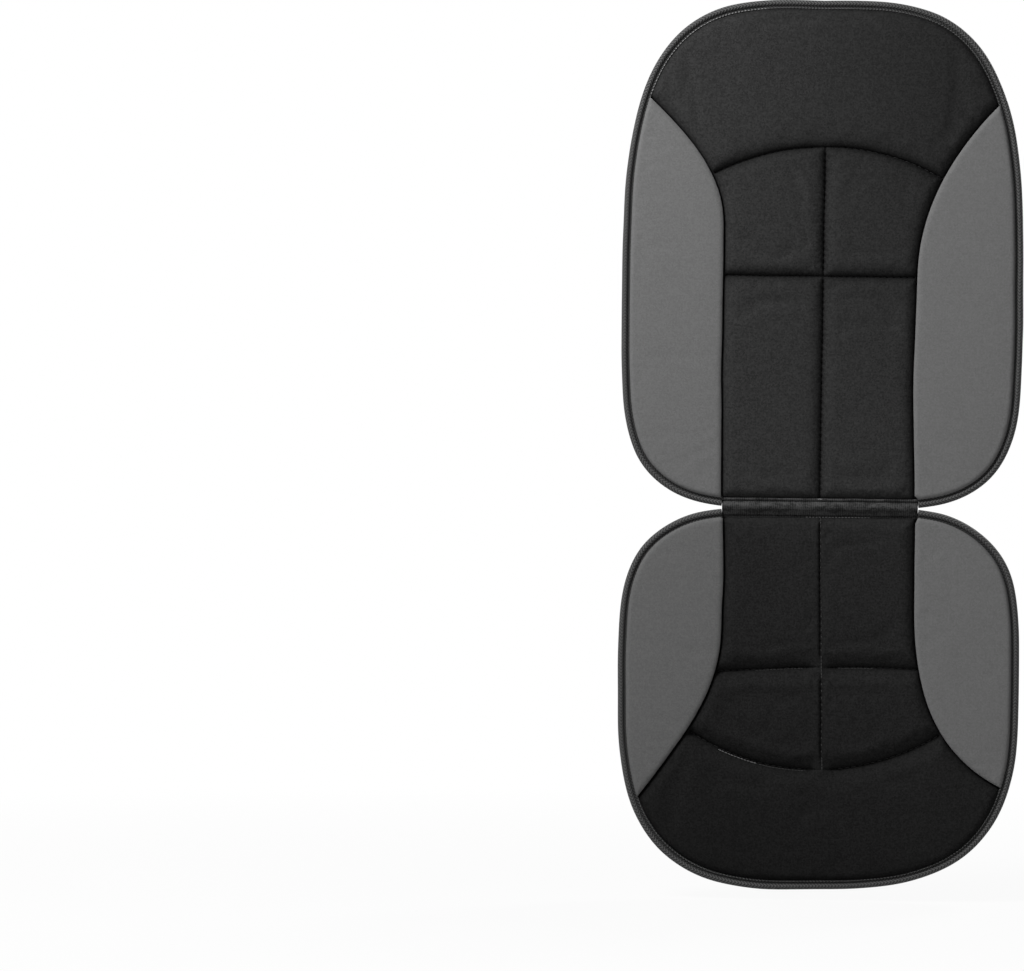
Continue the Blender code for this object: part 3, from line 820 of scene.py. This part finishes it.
def make_showing_thread(name, line, roll, limits, offset, material):
    """Upper thread that shows beside a channel of the seat, between two limits of x."""
    first, last = limits
    shown = [p for p in offset_line(line, offset) if first <= p.x <= last]
    fall = (CROWN_DEPTH - roll.depth) * (1 - offset / roll.reach) ** roll.power
    depth = CROWN_DEPTH - fall - roll.pinch * math.exp(-offset / PINCH_REACH)
    path = [Vector((p.x, -depth, SEAT.centre_z + p.y)) for p in shown]
    sew(stitch_run("seat_" + name, path, SHOWING_STITCH, material), SEAT, "black_fabric")


# Edge binding


def binding_angles(pad):
    right = rim_angles(pad, BINDING_MIDDLE, TAPE_HALF_LENGTH + BINDING_END_GAP, BINDING_STEP)
    return right + [math.pi - angle for angle in right[-2::-1]]


def make_binding(pad, material, thread, pale_thread):
    """Folded braid swept round the rim: a raised fold, a sewn groove and a flat lip on each face."""
    section = smooth(BINDING_SECTION, 2, is_loop=True)
    rings, stitched = [], []
    for angle in binding_angles(pad):
        middle = rim_point(pad, angle, 0.0)
        lump = noise.noise((middle.x / BINDING_WAVE_SIZE, middle.y / BINDING_WAVE_SIZE, 3.0))
        ring = []
        for inset, y in section + [BINDING_STITCH_SPOT]:
            spot = rim_point(pad, angle, inset)
            ring.append(Vector((spot.x, y * (1 + BINDING_WAVE * lump), pad.centre_z + spot.y)))
        stitched.append(ring.pop())
        rings.append(ring)
    lengths = walked([ring[0] for ring in rings])
    obj = swept(pad.name + "_braid", rings, lengths, section, material)
    sew(obj, pad, "binding_braid", pad.name + "_edge_binding")
    runs = [("braid_stitches", stitched, thread)]
    if pad is BACK:
        pale = [
            i for i, p in enumerate(stitched)
            if PALE_STITCHES_FROM < p.x < PALE_STITCHES_TO and p.z > PALE_STITCHES_ABOVE
        ]
        runs = [
            ("braid_stitches", stitched[: pale[0] + 1], thread),
            ("braid_stitches_pale", stitched[pale[0] : pale[-1] + 1], pale_thread),
            ("braid_stitches_end", stitched[pale[-1] :], thread),
        ]
    for name, path, finish in runs:
        sew(stitch_run(f"{pad.name}_{name}", path, BRAID_STITCH, finish), pad, "binding_braid")


# Folding tape


def tape_point(x, spot, sway, flatter):
    """A point of the tape's section at x: its crest is pressed back by flatter."""
    crest = max(0.0, 1 - (spot.x / TAPE_CREST_REACH) ** 2) if spot.y < -TAPE_REAR else 0.0
    return Vector((x, spot.y + flatter * crest, FOLD_Z + spot.x + sway))


def hang(obj):
    """Bakes the placement of a piece of the tape, between the fold and one pad, into its mesh."""
    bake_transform(obj)


def make_tape_half(name, pad, material):
    """Half of the folding tape, from the fold line to one pad."""
    front = [p for p in TAPE_FRONT if pad.tape_sign * p[0] <= 0]
    section = resample(smooth(front, 8), TAPE_SECTION_STEP)
    section += [Vector((p.x, -TAPE_REAR)) for p in reversed(section)]
    count = round(2 * TAPE_HALF_LENGTH / TAPE_STEP)
    lengths = [TAPE_HALF_LENGTH * (2 * i / count - 1) for i in range(count + 1)]
    rings = []
    for x in lengths:
        sway = TAPE_SWAY * noise.noise((x / TAPE_SWAY_SIZE, 0.0, 4.0))
        pinch = TAPE_END_PINCH * math.exp((abs(x) - TAPE_HALF_LENGTH) / TAPE_END_REACH)
        lumps = TAPE_LUMP * noise.noise((x / TAPE_LUMP_SIZE, 0.0, 7.0))
        rings.append([tape_point(x, p, sway, pinch + lumps) for p in section])
    obj = swept(name, rings, lengths, section, material)
    hang(obj)
    return obj


def make_tape(finishes):
    """The tape in two halves, its hem stitches and one loose stitch at the end of the back's channel."""
    upper = make_tape_half("tape_upper", BACK, finishes["tape_cloth_upper"])
    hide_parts("hinge_tape")
    make_tape_half("tape_lower", SEAT, finishes["tape_cloth_lower"])
    for name, first, last, y, up, pad, tone in (
        ("tape_stitches_left", -0.118, -0.020, -0.0086, -0.0099, SEAT, "dark"),
        ("tape_stitches_light", -0.018, 0.063, -0.0086, -0.0099, SEAT, "light"),
        ("tape_stitches_right", 0.065, 0.118, -0.0086, -0.0099, SEAT, "dark"),
        ("tape_loose_stitch", -0.0030, 0.0026, -0.0114, 0.0126, BACK, "pale"),
    ):
        path = [Vector((x, y, FOLD_Z + up)) for x in (first, last)]
        hang(stitch_run(name, path, TAPE_STITCH, finishes[tone + "_thread"]))


# Backing cloth with anti-slip dots


def backing_outline(pad):
    edge = tape_edge(pad, BACKING_SETBACK)
    side, far = split_rim(pad, pad.right_seam)
    right = [Vector((TAPE_HALF_LENGTH, edge))] + side + far[1:]
    left = mirrored(right[:-1])
    along_tape = resample([left[-1], right[0]], EDGE_STEP)
    return right + left[:-1] + along_tape[:-1]


def make_backing(pad, sewn, material, dot_material):
    """Rear cloth, drawn in along the sewn channels."""
    polygon = backing_outline(pad)
    spots, faces = panel_mesh(polygon, sewn)
    groove = GROOVE_DEPTH * (1 - ramp(clearance(spots, sewn), 0, GROOVE_REACH)) ** 2
    rear = np.column_stack([spots[:, 0], -groove, pad.centre_z + spots[:, 1]])
    obj = closed_sheet(pad.name + "_lining", rear, faces, BACKING_FRONT, material)
    sew(obj, pad, "backing_cloth", pad.name + "_backing")
    corners = as_array(polygon)
    width, length = corners.max(0) - corners.min(0)
    make_dots(pad, polygon, sewn, dot_material)


def make_dots(pad, polygon, sewn, material):
    """Low rubber dots in a staggered grid on the rear cloth, clear of its border and the sewn lines."""
    spots = staggered((-PAD_HALF_WIDTH, -pad.drop), (PAD_HALF_WIDTH, pad.rise), DOT_PITCH)
    clear = clearance(spots, sewn + [closed(polygon)]) > DOT_CLEARANCE
    bm = bmesh.new()
    for x, y in spots[inside(spots, polygon) & clear]:
        lathe(bm, DOT_PROFILE, Vector((x, 0.0, pad.centre_z + y)), DEPTH_AXES, DOT_SIDES)
    sew(add_object(pad.name + "_grip_dots", bm, material), pad, "backing_cloth")


# Straps, patches and anchors


def make_webbing(name, node, body, material):
    """Ribbed elastic webbing in the place of a strap's solid, with rounded selvedges."""
    low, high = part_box(node)
    middle = (low + high) / 2
    half_width, half_thickness = (high.x - low.x) / 2, (high.y - low.y) / 2
    count = WEBBING_RIBS * WEBBING_RIB_STEPS
    half = []
    for k in range(count + 1):
        share = 2 * k / count - 1
        edge = math.sqrt(max(0.0, 1 - abs(share) ** WEBBING_SQUARENESS))
        dip = WEBBING_RIB_DEPTH * (1 - abs(math.sin(math.pi * WEBBING_RIBS * k / count)))
        half.append(Vector((share * half_width, half_thickness * edge * (1 - dip))))
    section = half + [Vector((p.x, -p.y)) for p in half[-2:0:-1]]
    steps = max(4, round((high.z - low.z) / WEBBING_STEP))
    lengths = np.linspace(low.z, high.z, steps + 1)
    rings = []
    for z in lengths:
        narrow = 1 - WEBBING_WAVE * (1 + noise.noise((z / 0.01, middle.x * 20, 6.0)))
        rings.append([Vector((middle.x + p.x * narrow, middle.y + p.y, z)) for p in section])
    obj = swept(name, rings, lengths, section, material, SHARP_EDGE)
    dress(obj, body, "elastic_webbing", node)


def make_box_stitch(name, node, body, thread):
    """A sewn square with one diagonal on a strap's tab, on its rear face."""
    low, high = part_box(node)
    x0, x1 = low.x + TAB_STITCH_INSET, high.x - TAB_STITCH_INSET
    z0, z1 = (high.z - below for below in TAB_STITCH_BELOW)
    spots = [(x0, z0), (x1, z0), (x1, z1), (x0, z1), (x0, z0), (x1, z1)]
    corners = [Vector((x, high.y + TAB_STITCH_RISE, z)) for x, z in spots]
    path = []
    for pair in zip(corners, corners[1:]):
        path += resample(pair, 0.001)[:-1]
    dress(stitch_run(name, path, TAB_STITCH, thread), body, "elastic_webbing")


def rounded_plate(bm, low, high, rounding):
    corners = bmesh.ops.create_cube(bm, size=1.0)["verts"]
    for vert in corners:
        vert.co = [(a + b) / 2 + c * (b - a) for a, b, c in zip(low, high, vert.co)]
    edges = list({e for v in corners for e in v.link_edges})
    bmesh.ops.bevel(bm, geom=edges, offset=rounding, segments=2, profile=0.5, affect="EDGES")


def bent_wire(bm, points):
    """A thin square wire through a few points."""
    rings = []
    for i, point in enumerate(points):
        run = heading(points, i)
        side = run.cross(Vector((0.31, 0.17, 0.94))).normalized()
        out = side.cross(run).normalized()
        corners = (side + out, out - side, -side - out, side - out)
        rings.append([bm.verts.new(point + c * PATCH_WIRE) for c in corners])
    for first, second in zip(rings, rings[1:]):
        bridge(bm, first, second)
    bm.faces.new(rings[0])
    bm.faces.new(rings[-1])


def make_patch(name, node, body, outward, pitch, curl, material):
    """Hook or loop tape: a thin woven base with rows of small curled threads on its outward face."""
    low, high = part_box(node)
    thickness = high.y - low.y
    base_low, base_high = low.copy(), high.copy()
    if outward > 0:
        root = base_high.y = low.y + PATCH_BASE_SHARE * thickness
    else:
        root = base_low.y = high.y - PATCH_BASE_SHARE * thickness
    bm = bmesh.new()
    rounded_plate(bm, base_low, base_high, PATCH_ROUNDING)
    tall = outward * PATCH_PILE_SHARE * thickness
    first, last = PATCH_MARGINS
    for x in np.arange(low.x + first, high.x - last, pitch):
        for z in np.arange(low.z + first, high.z - last, pitch):
            lean = curl * random.uniform(0.7, 1.3)
            across = 0.4 * curl * random.uniform(-1, 1)
            spot = Vector((x + 0.2 * pitch * random.uniform(-1, 1), root, z))
            points = [
                spot + Vector((0.0, -0.1 * tall, 0.0)),
                spot + Vector((0.2 * across, 0.6 * tall, 0.1 * lean)),
                spot + Vector((0.6 * across, tall, 0.55 * lean)),
                spot + Vector((across, 0.55 * tall, lean)),
            ]
            bent_wire(bm, points)
    obj = add_object(name, bm, material, sharp_from=PATCH_SHARP_EDGE)
    dress(obj, body, "hook_and_loop", node)


def make_turned(name, profile, centre, sides, material):
    """A closed profile of (radius, y) turned about the depth through centre."""
    bm = bmesh.new()
    lathe(bm, [(y, radius) for radius, y in profile], centre, DEPTH_AXES, sides, is_ring=True)
    return add_object(name, bm, material, sharp_from=TURNED_SHARP_EDGE)


def make_anchor(side, plastic, rivet_finish):
    """A moulded disc with a rolled rim and a dished face, and the rivet that holds it."""
    low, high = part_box("anchor_disc_" + side)
    centre = Vector(((low.x + high.x) / 2, 0.0, (low.z + high.z) / 2))
    outer = (high.x - low.x) / 2
    front, rear = low.y, high.y
    hole = 0.0025
    disc = [
        (hole, front), (outer - 0.0030, front), (outer - 0.0009, front + 0.0003),
        (outer, front + 0.0014), (outer, rear - 0.0012), (outer - 0.0006, rear - 0.0003),
        (outer - 0.0016, rear), (outer - 0.0030, rear - 0.0003), (outer - 0.0042, rear - 0.0015),
        (0.0092, rear - 0.0017), (0.0082, rear - 0.0006), (0.0074, rear - 0.0001), (hole, rear - 0.0001),
    ]
    obj = make_turned("anchor_button_" + side, disc, centre, 72, plastic)
    dress(obj, "anchor_" + side, "black_plastic", "anchor_disc_" + side)
    low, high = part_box("anchor_rivet_" + side)
    head = (high.x - low.x) / 2
    shank, thick, tiny = 0.0022, 0.0010, 0.00005
    half = [(tiny, 0.0), (0.6 * head, 0.00012), (0.92 * head, 0.0004), (head, thick), (shank, thick)]
    rivet = [(radius, low.y + depth) for radius, depth in half]
    rivet += [(radius, high.y - depth) for radius, depth in reversed(half)]
    obj = make_turned("anchor_stud_" + side, rivet, centre, 40, rivet_finish)
    dress(obj, "anchor_" + side, "black_rivet", "anchor_rivet_" + side)


# Materials


class Nodes:
    """The nodes of a material or of the world, with the shader that they feed."""

    def __init__(self, owner, shader):
        owner.use_nodes = True
        self.owner = owner
        self.tree = owner.node_tree
        self.shader = self.tree.nodes[shader]

    def feed(self, node, values):
        """Sets a node's inputs: a socket is linked, a constant is set on the input itself."""
        for key, value in values.items():
            if isinstance(value, bpy.types.NodeSocket):
                self.tree.links.new(value, node.inputs[key])
            else:
                node.inputs[key].default_value = value

    def add(self, kind, values=None, output=0, **settings):
        """One output of a new node with these inputs and settings."""
        node = self.tree.nodes.new("ShaderNode" + kind)
        for key, value in settings.items():
            setattr(node, key, value)
        self.feed(node, values or {})
        return node.outputs[output]

    def math(self, operation, *values):
        return self.add("Math", dict(enumerate(values)), operation=operation)

    def weighted(self, *parts):
        """The weighted sum of several sockets, shifted so that halves give a half."""
        total = 0.5 - 0.5 * sum(weight for _, weight in parts)
        for socket, weight in parts:
            total = self.math("MULTIPLY_ADD", socket, weight, total)
        return total

    def spread(self, value, to_min, to_max, from_min=0.0, from_max=1.0):
        """A value of one range, spread over another."""
        ends = {"From Min": from_min, "From Max": from_max, "To Min": to_min, "To Max": to_max}
        return self.add("MapRange", {"Value": value, **ends}, "Result")

    def place(self, *scale):
        """Object coordinates in metres, stretched by a scale where one is given."""
        plain = self.add("TexCoord", output="Object")
        return self.add("Mapping", {"Vector": plain, "Scale": scale}) if scale else plain

    def speckle(self, place, scale, detail=2.0):
        values = {"Vector": place, "Scale": scale, "Detail": detail, "Roughness": 0.6}
        return self.add("TexNoise", values, "Fac")

    def bands(self, place, direction, pitch, waver=0.0):
        """A sine across one axis with this pitch in metres, its phase off by up to waver radians."""
        values = {"Vector": place, "Scale": WAVE_PERIOD / pitch, "Distortion": waver}
        return self.add("TexWave", values, "Fac", bands_direction=direction)

    def tones(self, factor, colour, dark, light):
        """A ramp from a darker to a lighter share of a colour."""
        shade = self.add("ValToRGB", {"Fac": factor}, "Color")
        for element, position, share in zip(shade.node.color_ramp.elements, RAMP_ENDS, (dark, light)):
            element.position = position
            element.color = (*(c * share for c in colour), 1.0)
        return shade

    def mixed(self, factor, first, second):
        values = {"Factor": factor, "A": first, "B": second}
        return self.add("Mix", values, "Result", data_type="RGBA")

    def seen(self):
        """1 along rays from the camera, also by way of a mirror or glass, and 0 along light's own."""
        path = self.add("LightPath").node.outputs
        seen = path["Is Camera Ray"]
        for kind in ("Is Glossy Ray", "Is Transmission Ray"):
            seen = self.math("MAXIMUM", seen, path[kind])
        return seen

    def finish(self, colour, height, strength, depth):
        """Gives the shader its colour and its bump, and returns the material."""
        values = {"Height": height, "Strength": strength, "Distance": depth}
        normal = self.add("Bump", values, "Normal")
        self.feed(self.shader, {"Base Color": colour, "Normal": normal})
        return self.owner


def grey(tone, tint=0.0):
    return (tone, tone, tone + tint)


def new_material(name, roughness, specular, sheen=0.0):
    nodes = Nodes(bpy.data.materials.new(name), "Principled BSDF")
    values = {
        "Roughness": roughness,
        "Specular IOR Level": specular,
        "Sheen Weight": sheen,
        "Sheen Roughness": 0.5,
    }
    nodes.feed(nodes.shader, values)
    return nodes


def woven_cloth(name, tone, contrast):
    """Fine woven polyester: mixed yarns of uneven tone, crossing threads and faint streaks both ways,
    darkened by painted shade carried on the mesh.
    """
    nodes = new_material(name, 0.92, 0.0)
    plain = nodes.place()
    yarn = nodes.add("TexVoronoi", {"Vector": plain, "Scale": 560.0}, "Color")
    rows = nodes.speckle(nodes.place(50.0, 50.0, 480.0), 1.0)
    posts = nodes.speckle(nodes.place(480.0, 50.0, 50.0), 1.0)
    broad = nodes.speckle(plain, 24.0)
    uneven = nodes.weighted((yarn, 0.55), (rows, 0.30), (posts, 0.24), (broad, 0.05))
    cloth = nodes.tones(uneven, grey(tone), 1 - contrast, 1 + contrast)
    # Painted shade: the cloth darkens towards black by a point attribute of the mesh.
    tuck = nodes.add("Attribute", output="Fac", attribute_name="tuck")
    colour = nodes.mixed(tuck, cloth, (0.0, 0.0, 0.0, 1.0))
    warp = nodes.bands(plain, "X", 0.0013)
    weft = nodes.bands(plain, "Z", 0.0011)
    return nodes.finish(colour, nodes.weighted((warp, 0.5), (weft, 0.5), (yarn, 0.8)), 0.35, 0.0004)


def slanting_ribs(nodes, pitch, half_width):
    """Herringbone ribs from the UV map in metres: they slant and turn back every half width."""
    place = nodes.add("UVMap", uv_map="metres")
    along, round_section, _ = nodes.add("SeparateXYZ", {0: place}).node.outputs
    slant = nodes.math("ADD", along, nodes.math("PINGPONG", round_section, half_width))
    return nodes.bands(nodes.add("CombineXYZ", {"X": slant}), "X", pitch), round_section


def braid_cloth(name, highlit_fold_tone, shaded_lip_tone):
    """Herringbone braid: a painted highlight on its raised fold, painted shade in the sewn groove and on
    the lip.
    """
    nodes = new_material(name, 0.75, 0.12, 0.03)
    ribs, round_section = slanting_ribs(nodes, 0.0040, 0.0036)
    fuzz = nodes.speckle(nodes.place(), 620.0)
    uneven = nodes.weighted((ribs, 0.75), (fuzz, 0.9))
    lip, fold = (nodes.tones(uneven, grey(tone), 0.45, 1.6) for tone in (shaded_lip_tone, highlit_fold_tone))
    # Painted highlight and shade: the lighter tone on the raised fold, the darker one in the groove and
    # on the lip.
    share = nodes.spread(round_section, 0.0, 1.0, 0.0068, 0.0088)
    height = nodes.weighted((ribs, 0.7), (fuzz, 0.5))
    return nodes.finish(nodes.mixed(share, lip, fold), height, 0.7, 0.0009)


def tape_cloth(name, tone):
    """Folded tape: fine ribs across it, a mottled sheen of worn fibres."""
    nodes = new_material(name, 0.7, 0.06)
    plain = nodes.place()
    ribs = nodes.bands(plain, "X", 0.0026, 4.0)
    fuzz = nodes.speckle(plain, 420.0)
    patches = nodes.speckle(nodes.place(60.0, 60.0, 160.0), 1.0)
    uneven = nodes.weighted((ribs, 0.26), (fuzz, 0.9), (patches, 1.0))
    colour = nodes.tones(uneven, grey(tone), 0.4, 1.7)
    return nodes.finish(colour, nodes.weighted((ribs, 0.6), (fuzz, 0.6)), 0.6, 0.0006)


def webbing_cloth(name, tone):
    """Elastic webbing: fine ribs across its length and a light fuzz."""
    nodes = new_material(name, 0.8, 0.12, 0.05)
    plain = nodes.place()
    picks = nodes.bands(plain, "Z", 0.0014)
    fuzz = nodes.math("MULTIPLY", nodes.speckle(plain, 800.0), 0.6)
    uneven = nodes.math("MULTIPLY_ADD", picks, 0.4, fuzz)
    colour = nodes.tones(uneven, grey(tone, TINT), 0.65, 1.4)
    return nodes.finish(colour, nodes.math("ADD", picks, fuzz), 0.6, 0.0005)


def lining_cloth(name, tone):
    """Knitted lining: small cells with darker pits."""
    nodes = new_material(name, 0.9, 0.1, 0.03)
    plain = nodes.place()
    values = {"Vector": plain, "Scale": 520.0, "Randomness": 0.35}
    cells = nodes.add("TexVoronoi", values, "Distance")
    broad = nodes.math("MULTIPLY_ADD", nodes.speckle(plain, 30.0), 0.6, 0.45)
    uneven = nodes.math("MULTIPLY_ADD", cells, -0.5, broad)
    colour = nodes.tones(uneven, grey(tone, TINT), 0.7, 1.3)
    return nodes.finish(colour, nodes.math("MULTIPLY", cells, -1.0), 0.5, 0.0006)


def fine_grain(name, colour, roughness, scale, depth, sheen=0.0):
    """Thread, rubber and moulded plastic: a fine grain in colour, gloss and surface."""
    nodes = new_material(name, roughness, 0.25, sheen)
    grain = nodes.speckle(nodes.place(), scale, 3.0)
    nodes.feed(nodes.shader, {"Roughness": nodes.spread(grain, roughness - 0.1, roughness + 0.1)})
    return nodes.finish(nodes.tones(grain, colour, 0.75, 1.25), grain, 0.35, depth)


def make_finishes():
    """All the object's materials by name."""
    made = [
        woven_cloth("black_cloth_back", 0.0292, BLACK_CONTRAST),
        # The seat's copy of the black cloth is darker than the back's: painted shade.
        woven_cloth("black_cloth_seat", 0.0212, BLACK_CONTRAST),
        braid_cloth("braid", 0.055, 0.024),
        tape_cloth("tape_cloth_upper", 0.036),
        # The tape's lower half is a darker copy of the same cloth: painted shade on its downward face.
        tape_cloth("tape_cloth_lower", 0.020),
        lining_cloth("lining_cloth", 0.030),
        webbing_cloth("webbing", 0.024),
        fine_grain("grip_rubber", grey(0.016, TINT), 0.55, 600.0, 0.0001),
        fine_grain("dark_thread", grey(0.014), 0.8, 1500.0, 0.0002, 0.02),
        fine_grain("hook_nylon", grey(0.020, TINT), 0.5, 900.0, 0.0001),
        fine_grain("loop_nylon", grey(0.024, TINT), 0.85, 900.0, 0.0001, 0.1),
        fine_grain("moulded_plastic", grey(0.020, TINT), 0.42, 900.0, 0.00012),
        fine_grain("rivet_plastic", grey(0.030, TINT), 0.35, 900.0, 0.00008),
    ]
    # The grey sides are copies of one cloth whose tones differ only by painted light and shade, the
    # seat's left side darkest.
    greys = {"back_left": 0.130, "back_right": 0.137, "seat_left": 0.113, "seat_right": 0.136}
    made += [woven_cloth("grey_cloth_" + name, greys[name], GREY_CONTRAST) for name in greys]
    threads = {"light": 0.085, "pale": 0.24, "seat": 0.17, "bead": 0.038, "dim": 0.034}
    for name, tone in threads.items():
        made.append(fine_grain(name + "_thread", grey(tone), 0.75, 1500.0, 0.0002, 0.05))
    return {material.name: material for material in made}


# Stage, light and camera


def make_floor():
    """A pale floor that fades to plain white away from the object and keeps its shadow near it."""
    bm = bmesh.new()
    bmesh.ops.create_circle(bm, cap_ends=True, segments=96, radius=40.0)
    nodes = new_material("pale_floor", 0.9, 0.1)
    place = nodes.place()
    colour = nodes.tones(nodes.speckle(place, 40.0), grey(0.5), 0.98, 1.02)
    nodes.feed(nodes.shader, {"Base Color": colour})
    away = nodes.add("VectorMath", {0: place}, "Value", operation="LENGTH")
    share = nodes.math("MULTIPLY", nodes.seen(), nodes.spread(away, 0.93, 1.0, 0.5, 2.2))
    glow = nodes.add("Emission", {"Strength": 1.0})
    mixed = nodes.add("MixShader", {0: share, 1: nodes.shader.outputs[0], 2: glow})
    nodes.feed(nodes.tree.nodes["Material Output"], {"Surface": mixed})
    floor = add_object("floor", bm, nodes.owner, smooth=False)
    floor.location = (0.0, 0.0, cad_box[0].z - FLOOR_GAP)


def make_world():
    world = bpy.data.worlds.new("studio")
    bpy.context.scene.world = world
    nodes = Nodes(world, "Background")
    level = nodes.spread(nodes.seen(), 0.18, 1.0)
    nodes.feed(nodes.shader, {"Color": (1.0, 1.0, 1.0, 1.0), "Strength": level})


def make_lamp(name, place, aim, size, power):
    lamp = bpy.data.lights.new(name, "AREA")
    lamp.shape = "DISK"
    lamp.size = size
    lamp.energy = power
    obj = bpy.data.objects.new(name, lamp)
    obj.location = place
    obj.rotation_euler = (Vector(aim) - Vector(place)).to_track_quat("-Z", "Y").to_euler()
    bpy.context.scene.collection.objects.link(obj)


def make_light():
    middle = (0.0, 0.0, -0.1)
    make_lamp("key", (-1.22, -1.22, 1.40), middle, 0.9, 67.0)
    make_lamp("fill", (0.5, -1.7, -0.6), middle, 1.0, 4.0)
    make_lamp("rear_key", (1.2, 1.7, 1.2), middle, 0.8, 42.0)


def make_camera():
    place = Vector((0.0, FACE_Y - CAMERA_DISTANCE, CAMERA_Z))
    aim = Vector((AIM_X, FACE_Y, CAMERA_Z))
    camera = bpy.data.cameras.new("camera")
    camera.sensor_width = SENSOR_WIDTH
    camera.lens = SENSOR_WIDTH * CAMERA_DISTANCE / FRAME_WIDTH
    obj = bpy.data.objects.new("camera", camera)
    turned = (aim - place).to_track_quat("-Z", "Y").to_matrix().to_4x4()
    obj.matrix_world = Matrix.Translation(place) @ turned @ Matrix.Rotation(ROLL, 4, "Z")
    bpy.context.scene.collection.objects.link(obj)
    bpy.context.scene.camera = obj


# Assembly


def make_pads(finishes):
    for pad in (BACK, SEAT):
        sewn = make_centre(pad, finishes["black_cloth_" + pad.name])
        make_channel_stitches(pad, sewn, finishes["dark_thread"])
        for side in ("left", "right"):
            make_side(pad, side, finishes[f"grey_cloth_{pad.name}_{side}"])
        make_binding(pad, finishes["braid"], finishes["light_thread"], finishes["pale_thread"])
        make_backing(pad, sewn, finishes["lining_cloth"], finishes["grip_rubber"])
    arc, cross, middle = channels(SEAT)
    anywhere = (-PAD_HALF_WIDTH, PAD_HALF_WIDTH)
    for name, line, roll, limits, offset, tone in (
        ("arc_thread_pale", arc, SEAT_CREASE, (-0.126, -0.073), 0.0021, "seat"),
        ("arc_thread_dim", arc, SEAT_CREASE, (-0.073, -0.010), 0.0021, "dim"),
        ("cross_thread_left", cross, SEAT_CREASE, (-0.078, -0.008), 0.0014, "dim"),
        ("cross_thread_right", cross, SEAT_CREASE, (0.010, 0.070), 0.0014, "dim"),
        ("middle_thread", middle, SEAT_MIDDLE, anywhere, 0.0013, "bead"),
    ):
        make_showing_thread(name, line, roll, limits, offset, finishes[tone + "_thread"])


def make_straps(finishes):
    webbing, thread = finishes["webbing"], finishes["dark_thread"]
    for side in ("left", "right"):
        for kind, pad in (("headrest", "back_pad"), ("anchor", "seat_pad")):
            tab = f"{kind}_tab_{side}"
            strap = f"{kind}_strap_{side}"
            make_webbing(f"{kind}_webbing_tab_{side}", tab, pad, webbing)
            make_webbing(f"{kind}_webbing_{side}", strap, f"{kind}_{side}", webbing)
            make_box_stitch(f"{kind}_tab_stitches_{side}", tab, pad, thread)
        make_anchor(side, finishes["moulded_plastic"], finishes["rivet_plastic"])
    make_patch("hook_tape", "hook_patch", "headrest_left", 1, 0.0016, 0.0007, finishes["hook_nylon"])
    make_patch("loop_tape", "loop_patch", "headrest_right", -1, 0.0012, 0.0011, finishes["loop_nylon"])


bpy.context.scene.view_settings.view_transform = "Standard"
make_camera()
make_world()
make_light()
make_floor()
finishes = make_finishes()
make_pads(finishes)
make_tape(finishes)
make_straps(finishes)
